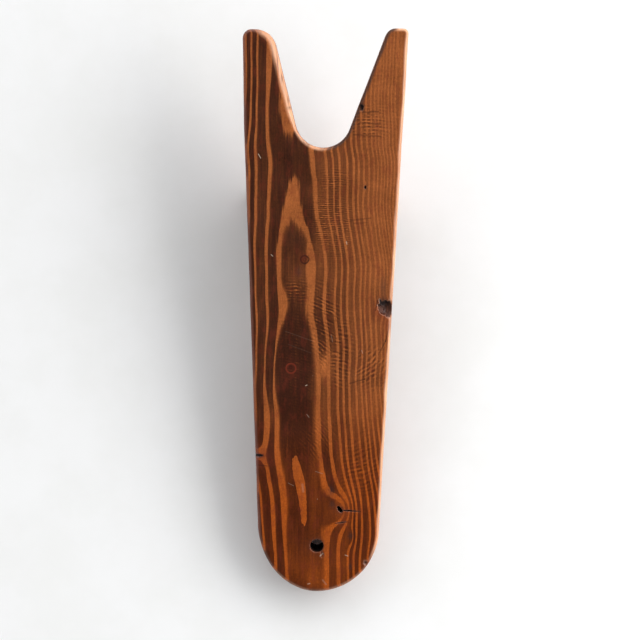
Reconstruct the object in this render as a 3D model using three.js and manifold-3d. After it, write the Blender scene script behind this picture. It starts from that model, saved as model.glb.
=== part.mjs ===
// Wooden boot jack.
// One tapered pine board with a heel notch at its wide end, a rounded tail with a hanging hole,
// and a cross cleat underneath that lifts the notch off the floor. Two screws hold the cleat.
//
// Units are millimetres. The board is drawn flat first: x runs across it, y from the tail to the
// fork, and z up from its underside. The whole jack is then tilted until the tail's lower arris
// and the cleat's bevelled sole both stand on z = 0.

import * as THREE from "three";
import { mergeVertices } from "three/addons/utils/BufferGeometryUtils.js";
import ManifoldModule from "manifold-3d";

// ---- Driving dimensions -------------------------------------------------------------------

const GAP = 0.3; // left between pieces that touch

const BOARD = {
  thickness: 19, // dressed inch board
  arris: 2.6, // radius of the rounded long edges
  tailLeft: { halfWidth: 42.2, rise: 51 }, // quarter ellipses of the hand-sawn tail
  tailRight: { halfWidth: 43.2, rise: 46 },
};

// The fork end, as straight lines that meet in rounded corners: x, y and corner radius.
const FORK_CORNERS = [
  { x: 56.6, y: 390.8, radius: 3.5 }, // right tip, outside
  { x: 43.0, y: 390.8, radius: 7 }, // right tip, inside
  { x: -2.8, y: 267.0, radius: 19 }, // heel notch
  { x: -34.6, y: 389.1, radius: 14 }, // left tip, inside
  { x: -54.4, y: 389.1, radius: 6 }, // left tip, outside
  { x: -53.3, y: 327.0, radius: 300 }, // left edge, where the prong was trimmed
];

const HANGING_HOLE = { x: -0.4, y: 33.8, diameter: 9.5, ease: 0.4 };

// A knot that fell out of the right-hand edge and left a shallow pocket.
const EDGE_POCKET = { x: 50.6, y: 201.5, z: 19.8, across: 7.0, along: 5.2, deep: 4.2 };

const CLEAT = {
  y: 272, // distance of its middle from the tail's end
  height: 38, // under the board, at its middle
  thickness: 19,
  length: 102,
  arris: 1.2,
};

const SCREW = {
  offset: 32, // each side of the middle
  length: 45,
  recess: 4, // head below the sole
  headDiameter: 9.4,
  rim: 0.4,
  coneAngle: 82,
  shank: 4.8,
  shankLength: 15,
  root: 3.4,
  pitch: 2.0,
  point: 5,
  slotWidth: 1.3,
  slotDepth: 1.4,
  slotTurn: 0.5, // radians that each slot came to rest off square
};

// The cleat's height over its distance from the tail sets the board's slope.
const TILT = Math.atan2(CLEAT.height, CLEAT.y);

const ARC_STEP = THREE.MathUtils.degToRad(12); // turn between points on a rounded corner
const TAIL_STEPS = 10; // sides of each quarter of the tail
const ARRIS_STEPS = 3;
const ROUND_STEPS = 20; // sides of a screw and its bores

// ---- Helpers ------------------------------------------------------------------------------

const wasm = await ManifoldModule();
wasm.setup();

function toManifold(geometry) {
  const bare = geometry.index ? geometry.toNonIndexed() : geometry.clone();
  bare.deleteAttribute("normal");
  bare.deleteAttribute("uv");
  const merged = mergeVertices(bare, 1e-4);
  return new wasm.Manifold(new wasm.Mesh({
    numProp: 3,
    vertProperties: new Float32Array(merged.attributes.position.array),
    triVerts: new Uint32Array(merged.index.array),
  }));
}

function toGeometry(solid) {
  const mesh = solid.getMesh();
  const geometry = new THREE.BufferGeometry();
  geometry.setAttribute("position", new THREE.BufferAttribute(mesh.vertProperties, 3));
  geometry.setIndex(new THREE.BufferAttribute(mesh.triVerts, 1));
  geometry.computeVertexNormals();
  return geometry;
}

function cut(body, ...tools) {
  const solid = tools.reduce((rest, tool) => rest.subtract(toManifold(tool)), toManifold(body));
  return toGeometry(solid);
}

function namedMesh(name, geometry, look) {
  const mesh = new THREE.Mesh(geometry, new THREE.MeshStandardMaterial(look));
  mesh.name = name;
  return mesh;
}

// Points of the arc that rounds a corner, between the points before and after it.
function cornerArc(before, corner, after) {
  const here = new THREE.Vector2(corner.x, corner.y);
  const back = new THREE.Vector2(before.x, before.y).sub(here).normalize();
  const on = new THREE.Vector2(after.x, after.y).sub(here).normalize();
  const halfAngle = Math.acos(back.dot(on)) / 2;
  const toTangent = corner.radius / Math.tan(halfAngle);
  const toCentre = corner.radius / Math.sin(halfAngle);
  const centre = back.clone().add(on).normalize().multiplyScalar(toCentre).add(here);
  const start = here.clone().addScaledVector(back, toTangent).sub(centre);
  const end = here.clone().addScaledVector(on, toTangent).sub(centre);
  const clockwise = back.cross(on) > 0;
  const arc = new THREE.ArcCurve(centre.x, centre.y, corner.radius, start.angle(), end.angle(), clockwise);
  const turn = Math.PI - 2 * halfAngle;
  return arc.getPoints(Math.ceil(turn / ARC_STEP));
}

// Points of a closed outline's rounded corners, from start round to end.
function roundedPath(start, corners, end) {
  return corners.flatMap((corner, i) => {
    const before = corners[i - 1] ?? start;
    const after = corners[i + 1] ?? end;
    return cornerArc(before, corner, after);
  });
}

// A solid of revolution about z, from [radius, z] pairs that start and end on the axis.
function turned(profile) {
  const points = profile.map(([radius, z]) => new THREE.Vector2(radius, z));
  const geometry = new THREE.LatheGeometry(points, ROUND_STEPS);
  return geometry.rotateX(Math.PI / 2);
}

// ---- Foot board ---------------------------------------------------------------------------

// One quarter of the tail, from the angle given, a quarter turn on.
function tailQuarter({ halfWidth, rise }, fromAngle) {
  const toAngle = fromAngle + Math.PI / 2;
  const curve = new THREE.EllipseCurve(0, rise, halfWidth, rise, fromAngle, toAngle);
  return curve.getPoints(TAIL_STEPS);
}

function boardOutline() {
  const left = tailQuarter(BOARD.tailLeft, Math.PI);
  const right = tailQuarter(BOARD.tailRight, 1.5 * Math.PI);
  const fork = roundedPath(right.at(-1), FORK_CORNERS, left[0]);
  return new THREE.Shape([...left, ...right.slice(1), ...fork]);
}

function boardBlank() {
  const geometry = new THREE.ExtrudeGeometry(boardOutline(), {
    depth: BOARD.thickness - 2 * BOARD.arris,
    bevelThickness: BOARD.arris,
    bevelSize: BOARD.arris,
    bevelOffset: -BOARD.arris,
    bevelSegments: ARRIS_STEPS,
  });
  return geometry.translate(0, 0, BOARD.arris);
}

// The drilled hole, a little eased where it breaks each face.
function hangingHoleCutter() {
  const radius = HANGING_HOLE.diameter / 2;
  const { ease } = HANGING_HOLE;
  const top = BOARD.thickness;
  const cutter = turned([
    [0, -1],
    [radius + ease + 1, -1],
    [radius, ease],
    [radius, top - ease],
    [radius + ease + 1, top + 1],
    [0, top + 1],
  ]);
  return cutter.translate(HANGING_HOLE.x, HANGING_HOLE.y, 0);
}

function edgePocketCutter() {
  const { x, y, z, across, along, deep } = EDGE_POCKET;
  return new THREE.SphereGeometry(1, 14, 10).scale(across, along, deep).translate(x, y, z);
}

// Blind bores for the two screws, open on the underside.
function pilotCutter(x) {
  const radius = SCREW.shank / 2 + GAP;
  const tip = screwTop() + SCREW.length + GAP;
  const cutter = turned([
    [0, -1],
    [radius, -1],
    [radius, tip - SCREW.point],
    [GAP, tip + GAP],
    [0, tip + GAP],
  ]);
  return cutter.translate(x, CLEAT.y, 0);
}

function footBoard() {
  const geometry = cut(
    boardBlank(),
    hangingHoleCutter(),
    edgePocketCutter(),
    pilotCutter(-SCREW.offset),
    pilotCutter(SCREW.offset),
  );
  return namedMesh("foot_board", geometry, { color: 0x8a4a2c, roughness: 0.42, metalness: 0 });
}

// ---- Cleat --------------------------------------------------------------------------------

// Height of the floor in the flat board's frame, at distance y from the tail's end.
function floorAt(y) {
  return -(y - BOARD.arris) * Math.tan(TILT);
}

// The cleat's section, seen along the board's width: square to the board above, with its sole
// bevelled to stand flat on the floor and its two lower arrises rounded.
function cleatSection() {
  const front = CLEAT.y + CLEAT.thickness / 2;
  const rear = CLEAT.y - CLEAT.thickness / 2;
  const topRear = new THREE.Vector2(rear, -GAP);
  const topFront = new THREE.Vector2(front, -GAP);
  const sole = [
    { x: rear, y: floorAt(rear), radius: CLEAT.arris },
    { x: front, y: floorAt(front), radius: CLEAT.arris },
  ];
  return new THREE.Shape([topRear, ...roundedPath(topRear, sole, topFront), topFront]);
}

function cleatBlank() {
  const geometry = new THREE.ExtrudeGeometry(cleatSection(), {
    depth: CLEAT.length,
    bevelEnabled: false,
  });
  // The section lies in x = along the board, y = up: turn it to face across the board.
  const turn = new THREE.Matrix4().makeBasis(
    new THREE.Vector3(0, 1, 0),
    new THREE.Vector3(0, 0, 1),
    new THREE.Vector3(1, 0, 0),
  );
  return geometry.applyMatrix4(turn).translate(-CLEAT.length / 2, 0, 0);
}

// Clearance bore for a screw, its countersink and the counterbore that sinks the head.
function screwBoreCutter(x) {
  const shank = SCREW.shank / 2 + GAP;
  const head = SCREW.headDiameter / 2 + GAP;
  const rim = screwTop() + SCREW.rim + GAP;
  const cutter = turned([
    [0, floorAt(CLEAT.y) - CLEAT.thickness],
    [head, floorAt(CLEAT.y) - CLEAT.thickness],
    [head, rim],
    [shank, rim + coneHeight()],
    [shank, 1],
    [0, 1],
  ]);
  return cutter.translate(x, CLEAT.y, 0);
}

function cleat() {
  const geometry = cut(
    cleatBlank(),
    screwBoreCutter(-SCREW.offset),
    screwBoreCutter(SCREW.offset),
  );
  return namedMesh("cleat", geometry, { color: 0x7c4227, roughness: 0.5, metalness: 0 });
}

// ---- Screws -------------------------------------------------------------------------------

// Height of the head's flat face, in the flat board's frame.
function screwTop() {
  return floorAt(CLEAT.y) + SCREW.recess;
}

function coneHeight() {
  const step = (SCREW.headDiameter - SCREW.shank) / 2;
  return step / Math.tan(THREE.MathUtils.degToRad(SCREW.coneAngle / 2));
}

// The screw's half section, head down at z = 0 and point up.
function screwProfile() {
  const head = SCREW.headDiameter / 2;
  const shank = SCREW.shank / 2;
  const root = SCREW.root / 2;
  const profile = [
    [0, 0],
    [head, 0],
    [head, SCREW.rim],
    [shank, SCREW.rim + coneHeight()],
    [shank, SCREW.shankLength],
  ];
  const threadEnd = SCREW.length - SCREW.point;
  for (let z = SCREW.shankLength + SCREW.pitch / 2; z < threadEnd - SCREW.pitch / 2; z += SCREW.pitch) {
    profile.push([root, z], [shank, z + SCREW.pitch / 2]);
  }
  profile.push([root, threadEnd], [0, SCREW.length]);
  return profile;
}

function screw(name, x) {
  const blank = turned(screwProfile());
  const slot = new THREE.BoxGeometry(2 * SCREW.headDiameter, SCREW.slotWidth, 2 * SCREW.slotDepth);
  const geometry = cut(blank, slot);
  const mesh = namedMesh(name, geometry, { color: 0x8d8676, roughness: 0.38, metalness: 1 });
  mesh.position.set(x, CLEAT.y, screwTop());
  mesh.rotation.z = Math.sign(x) * SCREW.slotTurn;
  return mesh;
}

// ---- Assembly -----------------------------------------------------------------------------

function bootJack() {
  const tilted = new THREE.Group();
  tilted.add(
    footBoard(),
    cleat(),
    screw("screw_left", -SCREW.offset),
    screw("screw_right", SCREW.offset),
  );
  tilted.rotation.x = TILT;
  tilted.position.z = -BOARD.arris * Math.sin(TILT);

  const jack = new THREE.Group();
  jack.add(tilted);
  jack.updateMatrixWorld(true);
  const middle = new THREE.Box3().setFromObject(jack, true).getCenter(new THREE.Vector3());
  tilted.position.x -= middle.x;
  tilted.position.y -= middle.y;
  return jack;
}

export default bootJack();
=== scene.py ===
"""Looks of the wooden boot jack: its grained foot board, cleat, screws, floor, light and camera.

Sizes are in millimetres in the flat board's own frame, unless a name says otherwise:
across runs over the board's width, along from the tail to the fork, and up from its underside.
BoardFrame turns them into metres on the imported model, where the board leans on its cleat.
"""

import logging
import math
from dataclasses import dataclass
from enum import Enum
from typing import Callable, Optional, Union

import bmesh
import bpy
import numpy as np
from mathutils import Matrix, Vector, noise
from mathutils.geometry import delaunay_2d_cdt
from mathutils.kdtree import KDTree


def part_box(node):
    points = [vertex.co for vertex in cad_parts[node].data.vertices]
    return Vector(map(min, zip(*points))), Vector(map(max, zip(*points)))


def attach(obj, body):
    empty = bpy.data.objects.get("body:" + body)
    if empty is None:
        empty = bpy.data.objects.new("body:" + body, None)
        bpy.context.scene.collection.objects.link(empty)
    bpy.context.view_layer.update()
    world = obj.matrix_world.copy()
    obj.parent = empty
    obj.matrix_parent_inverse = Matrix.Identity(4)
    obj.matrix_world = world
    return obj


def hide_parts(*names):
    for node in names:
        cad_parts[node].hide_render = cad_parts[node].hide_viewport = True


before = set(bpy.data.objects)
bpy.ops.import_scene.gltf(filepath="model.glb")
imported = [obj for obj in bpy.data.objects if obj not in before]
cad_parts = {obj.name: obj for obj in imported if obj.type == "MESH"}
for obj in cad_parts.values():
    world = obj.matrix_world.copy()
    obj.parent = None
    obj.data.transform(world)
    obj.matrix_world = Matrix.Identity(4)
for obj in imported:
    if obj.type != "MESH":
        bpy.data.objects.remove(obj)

LOG = logging.getLogger("boot_jack")
MM = 0.001  # metres in a millimetre
FULL_TURN = 2 * math.pi
QUARTER_TURN = math.pi / 2

Socket = bpy.types.NodeSocket
Value = Union[Socket, float, tuple]  # what a shader node's input may be given

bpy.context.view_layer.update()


# ---- Shared helpers -----------------------------------------------------------------------


class Side(Enum):
    """The two sides of the jack, seen from the tail."""

    LEFT = "left"
    RIGHT = "right"


SCREW_NODES = {Side.LEFT: "screw_left", Side.RIGHT: "screw_right"}


@dataclass(frozen=True)
class Track:
    """A value that changes smoothly along a line, through given (place, value) pairs."""

    points: tuple

    def __call__(self, place: np.ndarray) -> np.ndarray:
        """Reads the value at each place.

        Args:
            place: positions along the line.

        Returns:
            One value for each position, level past both ends.
        """
        xs, ys = np.array(sorted(self.points), float).T
        slopes = np.gradient(ys, xs)
        slopes[0] = slopes[-1] = 0.0
        x = np.clip(place, xs[0], xs[-1])
        i = np.clip(np.searchsorted(xs, x) - 1, 0, len(xs) - 2)
        span = xs[i + 1] - xs[i]
        t = (x - xs[i]) / span
        return (
            (2 * t**3 - 3 * t**2 + 1) * ys[i]
            + (t**3 - 2 * t**2 + t) * span * slopes[i]
            + (3 * t**2 - 2 * t**3) * ys[i + 1]
            + (t**3 - t**2) * span * slopes[i + 1]
        )


@dataclass(frozen=True)
class Patch:
    """A soft oval spot on the board's face that adds an amount to some quality of the wood."""

    across: float
    along: float
    half_width: float
    half_length: float
    amount: float

    def at(self, across: np.ndarray, along: np.ndarray) -> np.ndarray:
        """Reads what the spot adds.

        Args:
            across: places across the board.
            along: places along the board.

        Returns:
            The amount added at each place.
        """
        reach = ((across - self.across) / self.half_width) ** 2
        reach = reach + ((along - self.along) / self.half_length) ** 2
        return self.amount * np.exp(-reach)


def spots(patches: tuple, across: np.ndarray, along: np.ndarray) -> np.ndarray:
    """Adds up what a group of patches gives.

    Args:
        patches: the Patch spots.
        across: places across the board.
        along: places along the board.

    Returns:
        The summed amount at each place.
    """
    return sum((patch.at(across, along) for patch in patches), np.zeros_like(across))


def ease(low: float, high: float, value: np.ndarray) -> np.ndarray:
    """Smooth step from 0 at low to 1 at high.

    Args:
        low: where the step starts.
        high: where the step ends.
        value: the places to read.

    Returns:
        The step's height at each place.
    """
    t = np.clip((value - low) / (high - low), 0.0, 1.0)
    return t * t * (3.0 - 2.0 * t)


def ripple(points: np.ndarray, size: float, seed: float = 0.0) -> np.ndarray:
    """Smooth noise between about -1 and 1, the same on every run.

    Args:
        points: rows of x, y, z.
        size: width of one lump, in the points' unit.
        seed: shifts the noise to another place.

    Returns:
        One value for each point.
    """
    shift = Vector((seed * 7.3, seed * 3.1, seed * 5.7))
    return np.array([noise.noise(Vector(p) / size + shift) for p in points])


def even_loop(path: list, step: float) -> np.ndarray:
    """Lays evenly spaced points round a closed path.

    Args:
        path: the path's points, without its first one again at the end.
        step: distance between the new points.

    Returns:
        Rows of x, y.
    """
    points = np.array(list(path) + [path[0]])
    lengths = np.concatenate([[0], np.cumsum(np.linalg.norm(np.diff(points, axis=0), axis=1))])
    places = np.linspace(0, lengths[-1], int(lengths[-1] / step), endpoint=False)
    return np.column_stack([np.interp(places, lengths, points[:, i]) for i in (0, 1)])


class BoardFrame:
    """Places the flat board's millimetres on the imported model."""

    FACES_UP = 0.9  # least upward part of the normal of a face that may be the board's top
    SAME_PLANE = 0.9999  # least agreement of the normals of one flat face

    def __init__(self) -> None:
        """Reads the board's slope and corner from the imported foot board."""
        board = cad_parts["foot_board"]
        mesh = board.data
        self.up = self._top_normal(mesh)
        self.across = np.array([1.0, 0.0, 0.0])
        self.along = np.cross(self.up, self.across)
        places = np.array([vertex.co[:] for vertex in mesh.vertices])
        tail = (places @ self.along).min()
        under = (places @ self.up).min()
        self.thickness = (places @ self.up).max() / MM - under / MM
        boxes = [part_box(name) for name in SCREW_NODES.values()]
        middle = sum(low[0] + high[0] for low, high in boxes) / (2 * len(boxes))
        self.origin = self.across * middle + self.along * tail + self.up * under

    @staticmethod
    def _top_normal(mesh: bpy.types.Mesh) -> np.ndarray:
        """Finds the way the board's face looks.

        Args:
            mesh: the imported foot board.

        Returns:
            The unit normal of its largest upward face.
        """
        best = max((p for p in mesh.polygons if p.normal.z > BoardFrame.FACES_UP), key=lambda p: p.area)
        total = Vector()
        for polygon in mesh.polygons:
            if polygon.normal.dot(best.normal) > BoardFrame.SAME_PLANE:
                total += polygon.normal * polygon.area
        return np.array(total.normalized())

    def place(self, points: np.ndarray) -> np.ndarray:
        """Turns board millimetres into metres on the model.

        Args:
            points: rows of across, along, up.

        Returns:
            Rows of x, y, z.
        """
        basis = np.array([self.across, self.along, self.up])
        return self.origin + (np.asarray(points, float) * MM) @ basis

    def floor_height(self, along: float) -> float:
        """Returns the floor's height in the board's frame at a distance from the tail."""
        return (-self.origin[2] / MM - along * self.along[2]) / self.up[2]


def finish_mesh(name: str, vertices: np.ndarray, faces: list, smooth: bool = True) -> bpy.types.Object:
    """Makes a linked object from plain vertices and faces.

    Args:
        name: the piece's name.
        vertices: rows of x, y, z in metres.
        faces: tuples of vertex numbers.
        smooth: whether its faces are shaded smooth.

    Returns:
        The new object.
    """
    mesh = bpy.data.meshes.new(name)
    mesh.from_pydata(np.asarray(vertices).tolist(), [], faces)
    mesh.polygons.foreach_set("use_smooth", [smooth] * len(mesh.polygons))
    mesh.update()
    piece = bpy.data.objects.new(name, mesh)
    bpy.context.scene.collection.objects.link(piece)
    return piece


def write_attribute(mesh: bpy.types.Mesh, name: str, values: np.ndarray) -> None:
    """Stores one number or one vector per vertex under a name that a material can read.

    Args:
        mesh: the mesh to write on.
        name: the attribute's name.
        values: one row per vertex.
    """
    values = np.asarray(values, np.float32)
    if values.ndim == 1:
        attribute = mesh.attributes.new(name, "FLOAT", "POINT")
        attribute.data.foreach_set("value", values)
    else:
        attribute = mesh.attributes.new(name, "FLOAT_VECTOR", "POINT")
        attribute.data.foreach_set("vector", values.ravel())


# ---- Plan of the board --------------------------------------------------------------------


@dataclass(frozen=True)
class Corner:
    """A rounded corner of an outline."""

    x: float
    y: float
    radius: float


@dataclass(frozen=True)
class BoardPlan:
    """The foot board's outline, hole and arrises."""

    tail_left: tuple = (42.2, 51.0)  # half width and rise of each quarter ellipse
    tail_right: tuple = (43.2, 46.0)
    fork: tuple = (
        Corner(56.6, 390.8, 3.5),
        Corner(43.0, 390.8, 7.0),
        Corner(-2.8, 267.0, 19.0),
        Corner(-34.6, 389.1, 14.0),
        Corner(-54.4, 389.1, 6.0),
        Corner(-53.3, 327.0, 300.0),
    )
    hole: tuple = (-0.4, 33.8)
    hole_radius: float = 4.75
    hole_ease: float = 0.45
    arris: float = 2.6
    under_arris: float = 2.6
    worn_arris: float = 4.9  # along the inner side of the left prong
    tail_points: int = 60  # in each quarter of the tail
    arc_step: float = 0.03  # turn between two points of a corner, in radians

    def _quarter(self, size: tuple, start: float) -> list:
        """Draws a quarter of the tail.

        Args:
            size: half width and rise.
            start: angle of its first point, in radians.

        Returns:
            Points a quarter turn round.
        """
        half_width, rise = size
        angles = start + np.linspace(0, QUARTER_TURN, self.tail_points)
        return [(half_width * math.cos(a), rise + rise * math.sin(a)) for a in angles]

    def _corner(self, before: tuple, corner: Corner, after: tuple) -> list:
        """Draws the arc of one corner.

        Args:
            before: the point the outline comes from.
            corner: the corner to round.
            after: the point it goes on to.

        Returns:
            Points along the arc.
        """
        here = Vector((corner.x, corner.y))
        back = (Vector(before) - here).normalized()
        on = (Vector(after) - here).normalized()
        half = back.angle(on) / 2
        centre = here + (back + on).normalized() * corner.radius / math.sin(half)
        start = here + back * corner.radius / math.tan(half) - centre
        end = here + on * corner.radius / math.tan(half) - centre
        first = math.atan2(start.y, start.x)
        turn = (math.atan2(end.y, end.x) - first + math.pi) % FULL_TURN - math.pi
        steps = max(2, int(abs(turn) / self.arc_step))
        return [
            (centre.x + corner.radius * math.cos(first + turn * i / steps),
             centre.y + corner.radius * math.sin(first + turn * i / steps))
            for i in range(steps + 1)
        ]

    def outline(self, step: float) -> np.ndarray:
        """Draws the whole outline with evenly spaced points.

        Args:
            step: distance between points.

        Returns:
            Rows of across, along, anticlockwise from the left of the tail.
        """
        path = self._quarter(self.tail_left, math.pi)
        path += self._quarter(self.tail_right, math.pi + QUARTER_TURN)[1:]
        ends = [path[-1]] + [(c.x, c.y) for c in self.fork] + [path[0]]
        for i, corner in enumerate(self.fork):
            path += self._corner(ends[i], corner, ends[i + 2])
        return even_loop(path, step)

    @staticmethod
    def inward(loop: np.ndarray) -> np.ndarray:
        """Works out which way the wood lies from its outline.

        Args:
            loop: the outline's points, anticlockwise.

        Returns:
            One unit vector across and along for each point.
        """
        along = np.roll(loop, -1, axis=0) - np.roll(loop, 1, axis=0)
        along = along / np.linalg.norm(along, axis=1)[:, None]
        return np.column_stack([-along[:, 1], along[:, 0]])

    def top_arris(self, loop: np.ndarray) -> np.ndarray:
        """Works out how round the upper arris is.

        Args:
            loop: the outline's points.

        Returns:
            The arris's radius at each point.
        """
        across, along = loop.T
        inner_left = ease(-46, -40, across) * ease(-16, -22, across) * ease(316, 336, along)
        waver = 0.22 * np.sin(along / 9.0 + across / 13.0) + 0.16 * np.sin(along / 3.7)
        return self.arris + waver + (self.worn_arris - self.arris) * inner_left


# ---- Grain of the board -------------------------------------------------------------------


@dataclass(frozen=True)
class Grain:
    """Where the year rings of the flat-sawn board meet its surfaces.

    The rings are numbered outwards from the crown, the line along the board that lies over the
    heart of the tree. A whole number is the hard outer edge of a ring, and the light latewood
    lies just inside it. Every track is read by distance from the tail.
    """

    heart_depth: float = 36.0
    crown: Track = Track((
        (0, -7), (20, -8), (50, -9.3), (70, -11), (97, -14.2), (120, -15), (150, -16),
        (180, -16.3), (210, -17.3), (230, -16.9), (250, -18.5), (270, -20), (290, -19.8),
        (303, -20.6), (314, -23.0), (322, -23.6), (345, -23.4), (365, -22.8), (390, -22.0),
    ))
    crown_ring: Track = Track((
        (0, -0.80), (25, -0.86), (42, -0.90), (58, -0.90), (85, -0.90), (97, -0.90), (112, -0.84),
        (130, -0.84), (150, -1.0), (165, -0.93), (180, -0.76), (200, -0.55), (212, -0.58),
        (230, -0.65), (240, -0.58), (250, -0.46), (257, -0.36), (262, -0.25), (270, -0.17), (280, -0.10),
        (290, -0.04), (294, 0.03), (304, 0.10), (311, 0.07), (316, 0.0), (322, -0.06),
        (335, -0.15), (350, -0.2), (390, -0.25),
    ))
    left_span: Track = Track((
        (0, 270), (110, 290), (135, 275), (155, 248), (178, 252), (198, 272), (250, 280), (270, 265),
        (290, 275), (305, 275), (316, 228), (325, 203), (345, 190), (362, 194), (390, 215),
    ))
    right_span: Track = Track((
        (0, 320), (20, 325), (45, 352), (60, 352), (75, 345), (90, 335), (110, 315), (130, 300),
        (150, 287), (170, 295), (210, 290), (245, 280), (290, 280), (322, 297), (342, 283), (390, 280),
    ))
    left_edges: tuple = (
        (-9, -8.6), (-2.36, -2), (-1.36, -1), (-0.3, -0.3), (0, 0), (1, 1), (2.3, 2), (3.25, 3),
        (4.3, 4), (9, 9),
    )
    right_edges: tuple = (
        (0, 0), (1, 1), (2.1, 2), (2.9, 3), (3.9, 4), (5.2, 5), (6.4, 6), (7.3, 7), (8.5, 8), (9.8, 9),
        (11.0, 10), (12.0, 11), (12.9, 12), (13.9, 13), (14.8, 14), (15.9, 15), (18, 17),
    )
    lens_line: Track = Track((
        (47, -9.6), (60, -10.1), (70, -11.3), (80, -13.1), (90, -15.2), (100, -16.3),
    ))
    lens_half_width: Track = Track((
        (47, 0), (51, 1.7), (60, 2.5), (70, 3.2), (80, 3.75), (90, 3.4), (97, 1.9), (100, 0),
    ))
    lens_rise: float = 0.50
    lens_depth: float = 4.0
    feather_reach: float = 6.0
    crisp: Patch = Patch(-24, 323, 11, 24, 1.0)  # where the ring edges don't fray
    knots: tuple = (
        Patch(-45, 99, 7, 8, -0.9),
        Patch(16, 61, 8.5, 12, -1.75),
        Patch(46, 202, 6, 8, -1.4),
        Patch(-11, 235.5, 2.4, 2.6, -0.10),
        Patch(23.5, 40, 3, 6, -0.6),
        Patch(29.2, 285, 2, 4, -0.25),
    )
    light_share: tuple = (
        Patch(-8, 230, 4, 11, 0.16),
        Patch(-26, 205, 5, 9, 0.30),
        Patch(-36, 122, 5, 20, 0.34),
        Patch(-38, 165, 4, 22, -0.14),
        Patch(-31, 165, 4, 20, -0.10),
        Patch(-13, 73, 7, 26, 0.35),
        Patch(-27.5, 67, 6, 32, 0.26),
        Patch(-8.5, 252, 3, 7, -0.12),
        Patch(-7, 270, 6, 15, -0.05),
        Patch(3, 45, 4, 8, 0.1),
        Patch(17, 70, 6, 7, 0.35),
        Patch(6, 275, 8, 60, -0.12),
        Patch(-35, 372, 4, 22, 0.26),
        Patch(-24, 335, 5, 16, 0.20),
    )
    stain_depth: tuple = (
        Patch(2, 192, 6, 20, 0.6),
        Patch(-17, 222, 9, 17, -0.75),
        Patch(-17, 249, 6, 7, 0.10),
        Patch(-18, 160, 12, 36, 1.3),
        Patch(-16, 128, 9, 12, 0.4),
        Patch(31, 48, 10, 24, 0.5),
        Patch(40, 366, 14, 26, -0.10),
        Patch(-16, 118, 10, 16, 0.15),
        Patch(-11, 200, 6, 7, -0.2),
        Patch(3, 162, 4.5, 10, -0.9),
        Patch(3, 138, 3, 14, -0.2),
        Patch(-33, 128, 4, 16, -0.75),
        Patch(-16, 26, 9, 18, -0.55),
        Patch(-23, 85, 6, 18, -0.40),
        Patch(-3, 85, 5, 20, -0.20),
        Patch(-6, 12, 16, 12, -0.60),
        Patch(8, 74, 3, 8, 0.5),
        Patch(7, 94, 6, 12, 0.25),
        Patch(17, 56, 7, 6, -0.5),
        Patch(17, 67, 5, 6, -0.5),
        Patch(24, 168, 16, 28, 0.18),
        Patch(-9, 281, 4, 8, -0.6),
        Patch(37, 200, 4, 10, 0.2),
        Patch(38, 155, 6, 9, 0.2),
    )

    def offset(self, across: np.ndarray, along: np.ndarray) -> np.ndarray:
        """Measures how far each place is from the crown line, with the slow wander of real grain.

        Args:
            across: places across the board.
            along: places along the board.

        Returns:
            The distances, below 0 on the left of the line.
        """
        wander = (
            0.30 * np.sin(along / 23 + 1.3)
            + 0.20 * np.sin(along / 9.7 + across / 31 + 4)
            + 0.14 * np.sin(along / 5.1 + across / 17 + 0.6)
            + 0.10 * np.sin(across / 3.7 + along / 31)
            + 0.16 * np.sin(along / 41 - across / 11 + 2)
        )
        return across - self.crown(along) + 0.8 * wander

    def ring(self, across: np.ndarray, along: np.ndarray, depth: np.ndarray) -> np.ndarray:
        """Numbers the ring at each place.

        Args:
            across: places across the board.
            along: places along the board.
            depth: depths below the face.

        Returns:
            The ring number, with its fraction.
        """
        off = self.offset(across, along)
        sunk = depth * (2 * self.heart_depth - depth)
        span = np.where(off > 0, self.right_span(along), self.left_span(along))
        count = (off**2 - sunk) / span + self.crown_ring(along)
        left = np.interp(count, *np.array(self.left_edges).T)
        right = np.interp(count, *np.array(self.right_edges).T)
        number = np.where((off > 0) & (count > 0), right, left)
        edge = np.abs(across - self.lens_line(along)) / np.maximum(self.lens_half_width(along), 0.01)
        lens = ease(1.16, 0.84, edge) * np.exp(-((depth / self.lens_depth) ** 2))
        return number - self.lens_rise * lens + spots(self.knots, across, along)

    def share(self, across: np.ndarray, along: np.ndarray) -> np.ndarray:
        """Returns how much of each ring is light latewood."""
        base = np.where(across < self.crown(along), 0.33, 0.40)
        return np.clip(base + spots(self.light_share, across, along), 0.12, 0.95)

    def stain(self, across: np.ndarray, along: np.ndarray) -> np.ndarray:
        """Works out how deeply the soft part of the rings took the stain.

        Args:
            across: places across the board.
            along: places along the board.

        Returns:
            0 where it took none, up to 2.4 where it took most.
        """
        fork_end = 0.68 - 0.34 * ease(14, 36, across)
        tail_end = 1.05 - 0.22 * ease(8, 20, across)
        right = fork_end + (tail_end - fork_end) * ease(135, 95, along)
        left = 1.5
        base = left + (right - left) * ease(-10, -2, across)
        return np.clip(base + spots(self.stain_depth, across, along), 0.0, 2.4)

    def feather(self, across: np.ndarray, along: np.ndarray) -> np.ndarray:
        """Returns how far the ring edges fray, which they do where they cross the fibres."""
        frayed = np.exp(-((self.offset(across, along) / self.feather_reach) ** 2))
        return frayed * (1 - self.crisp.at(across, along)) * ease(96, 112, along)


# ---- Netting ------------------------------------------------------------------------------

UNDER_ARRIS_RINGS = 4
TOP_ARRIS_RINGS = 6
KEEP_INSIDE = 1  # the triangulation's mode that drops what lies outside the outer rim
SAME_PLACE = 1e-7  # points nearer than this are one, in millimetres


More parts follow.
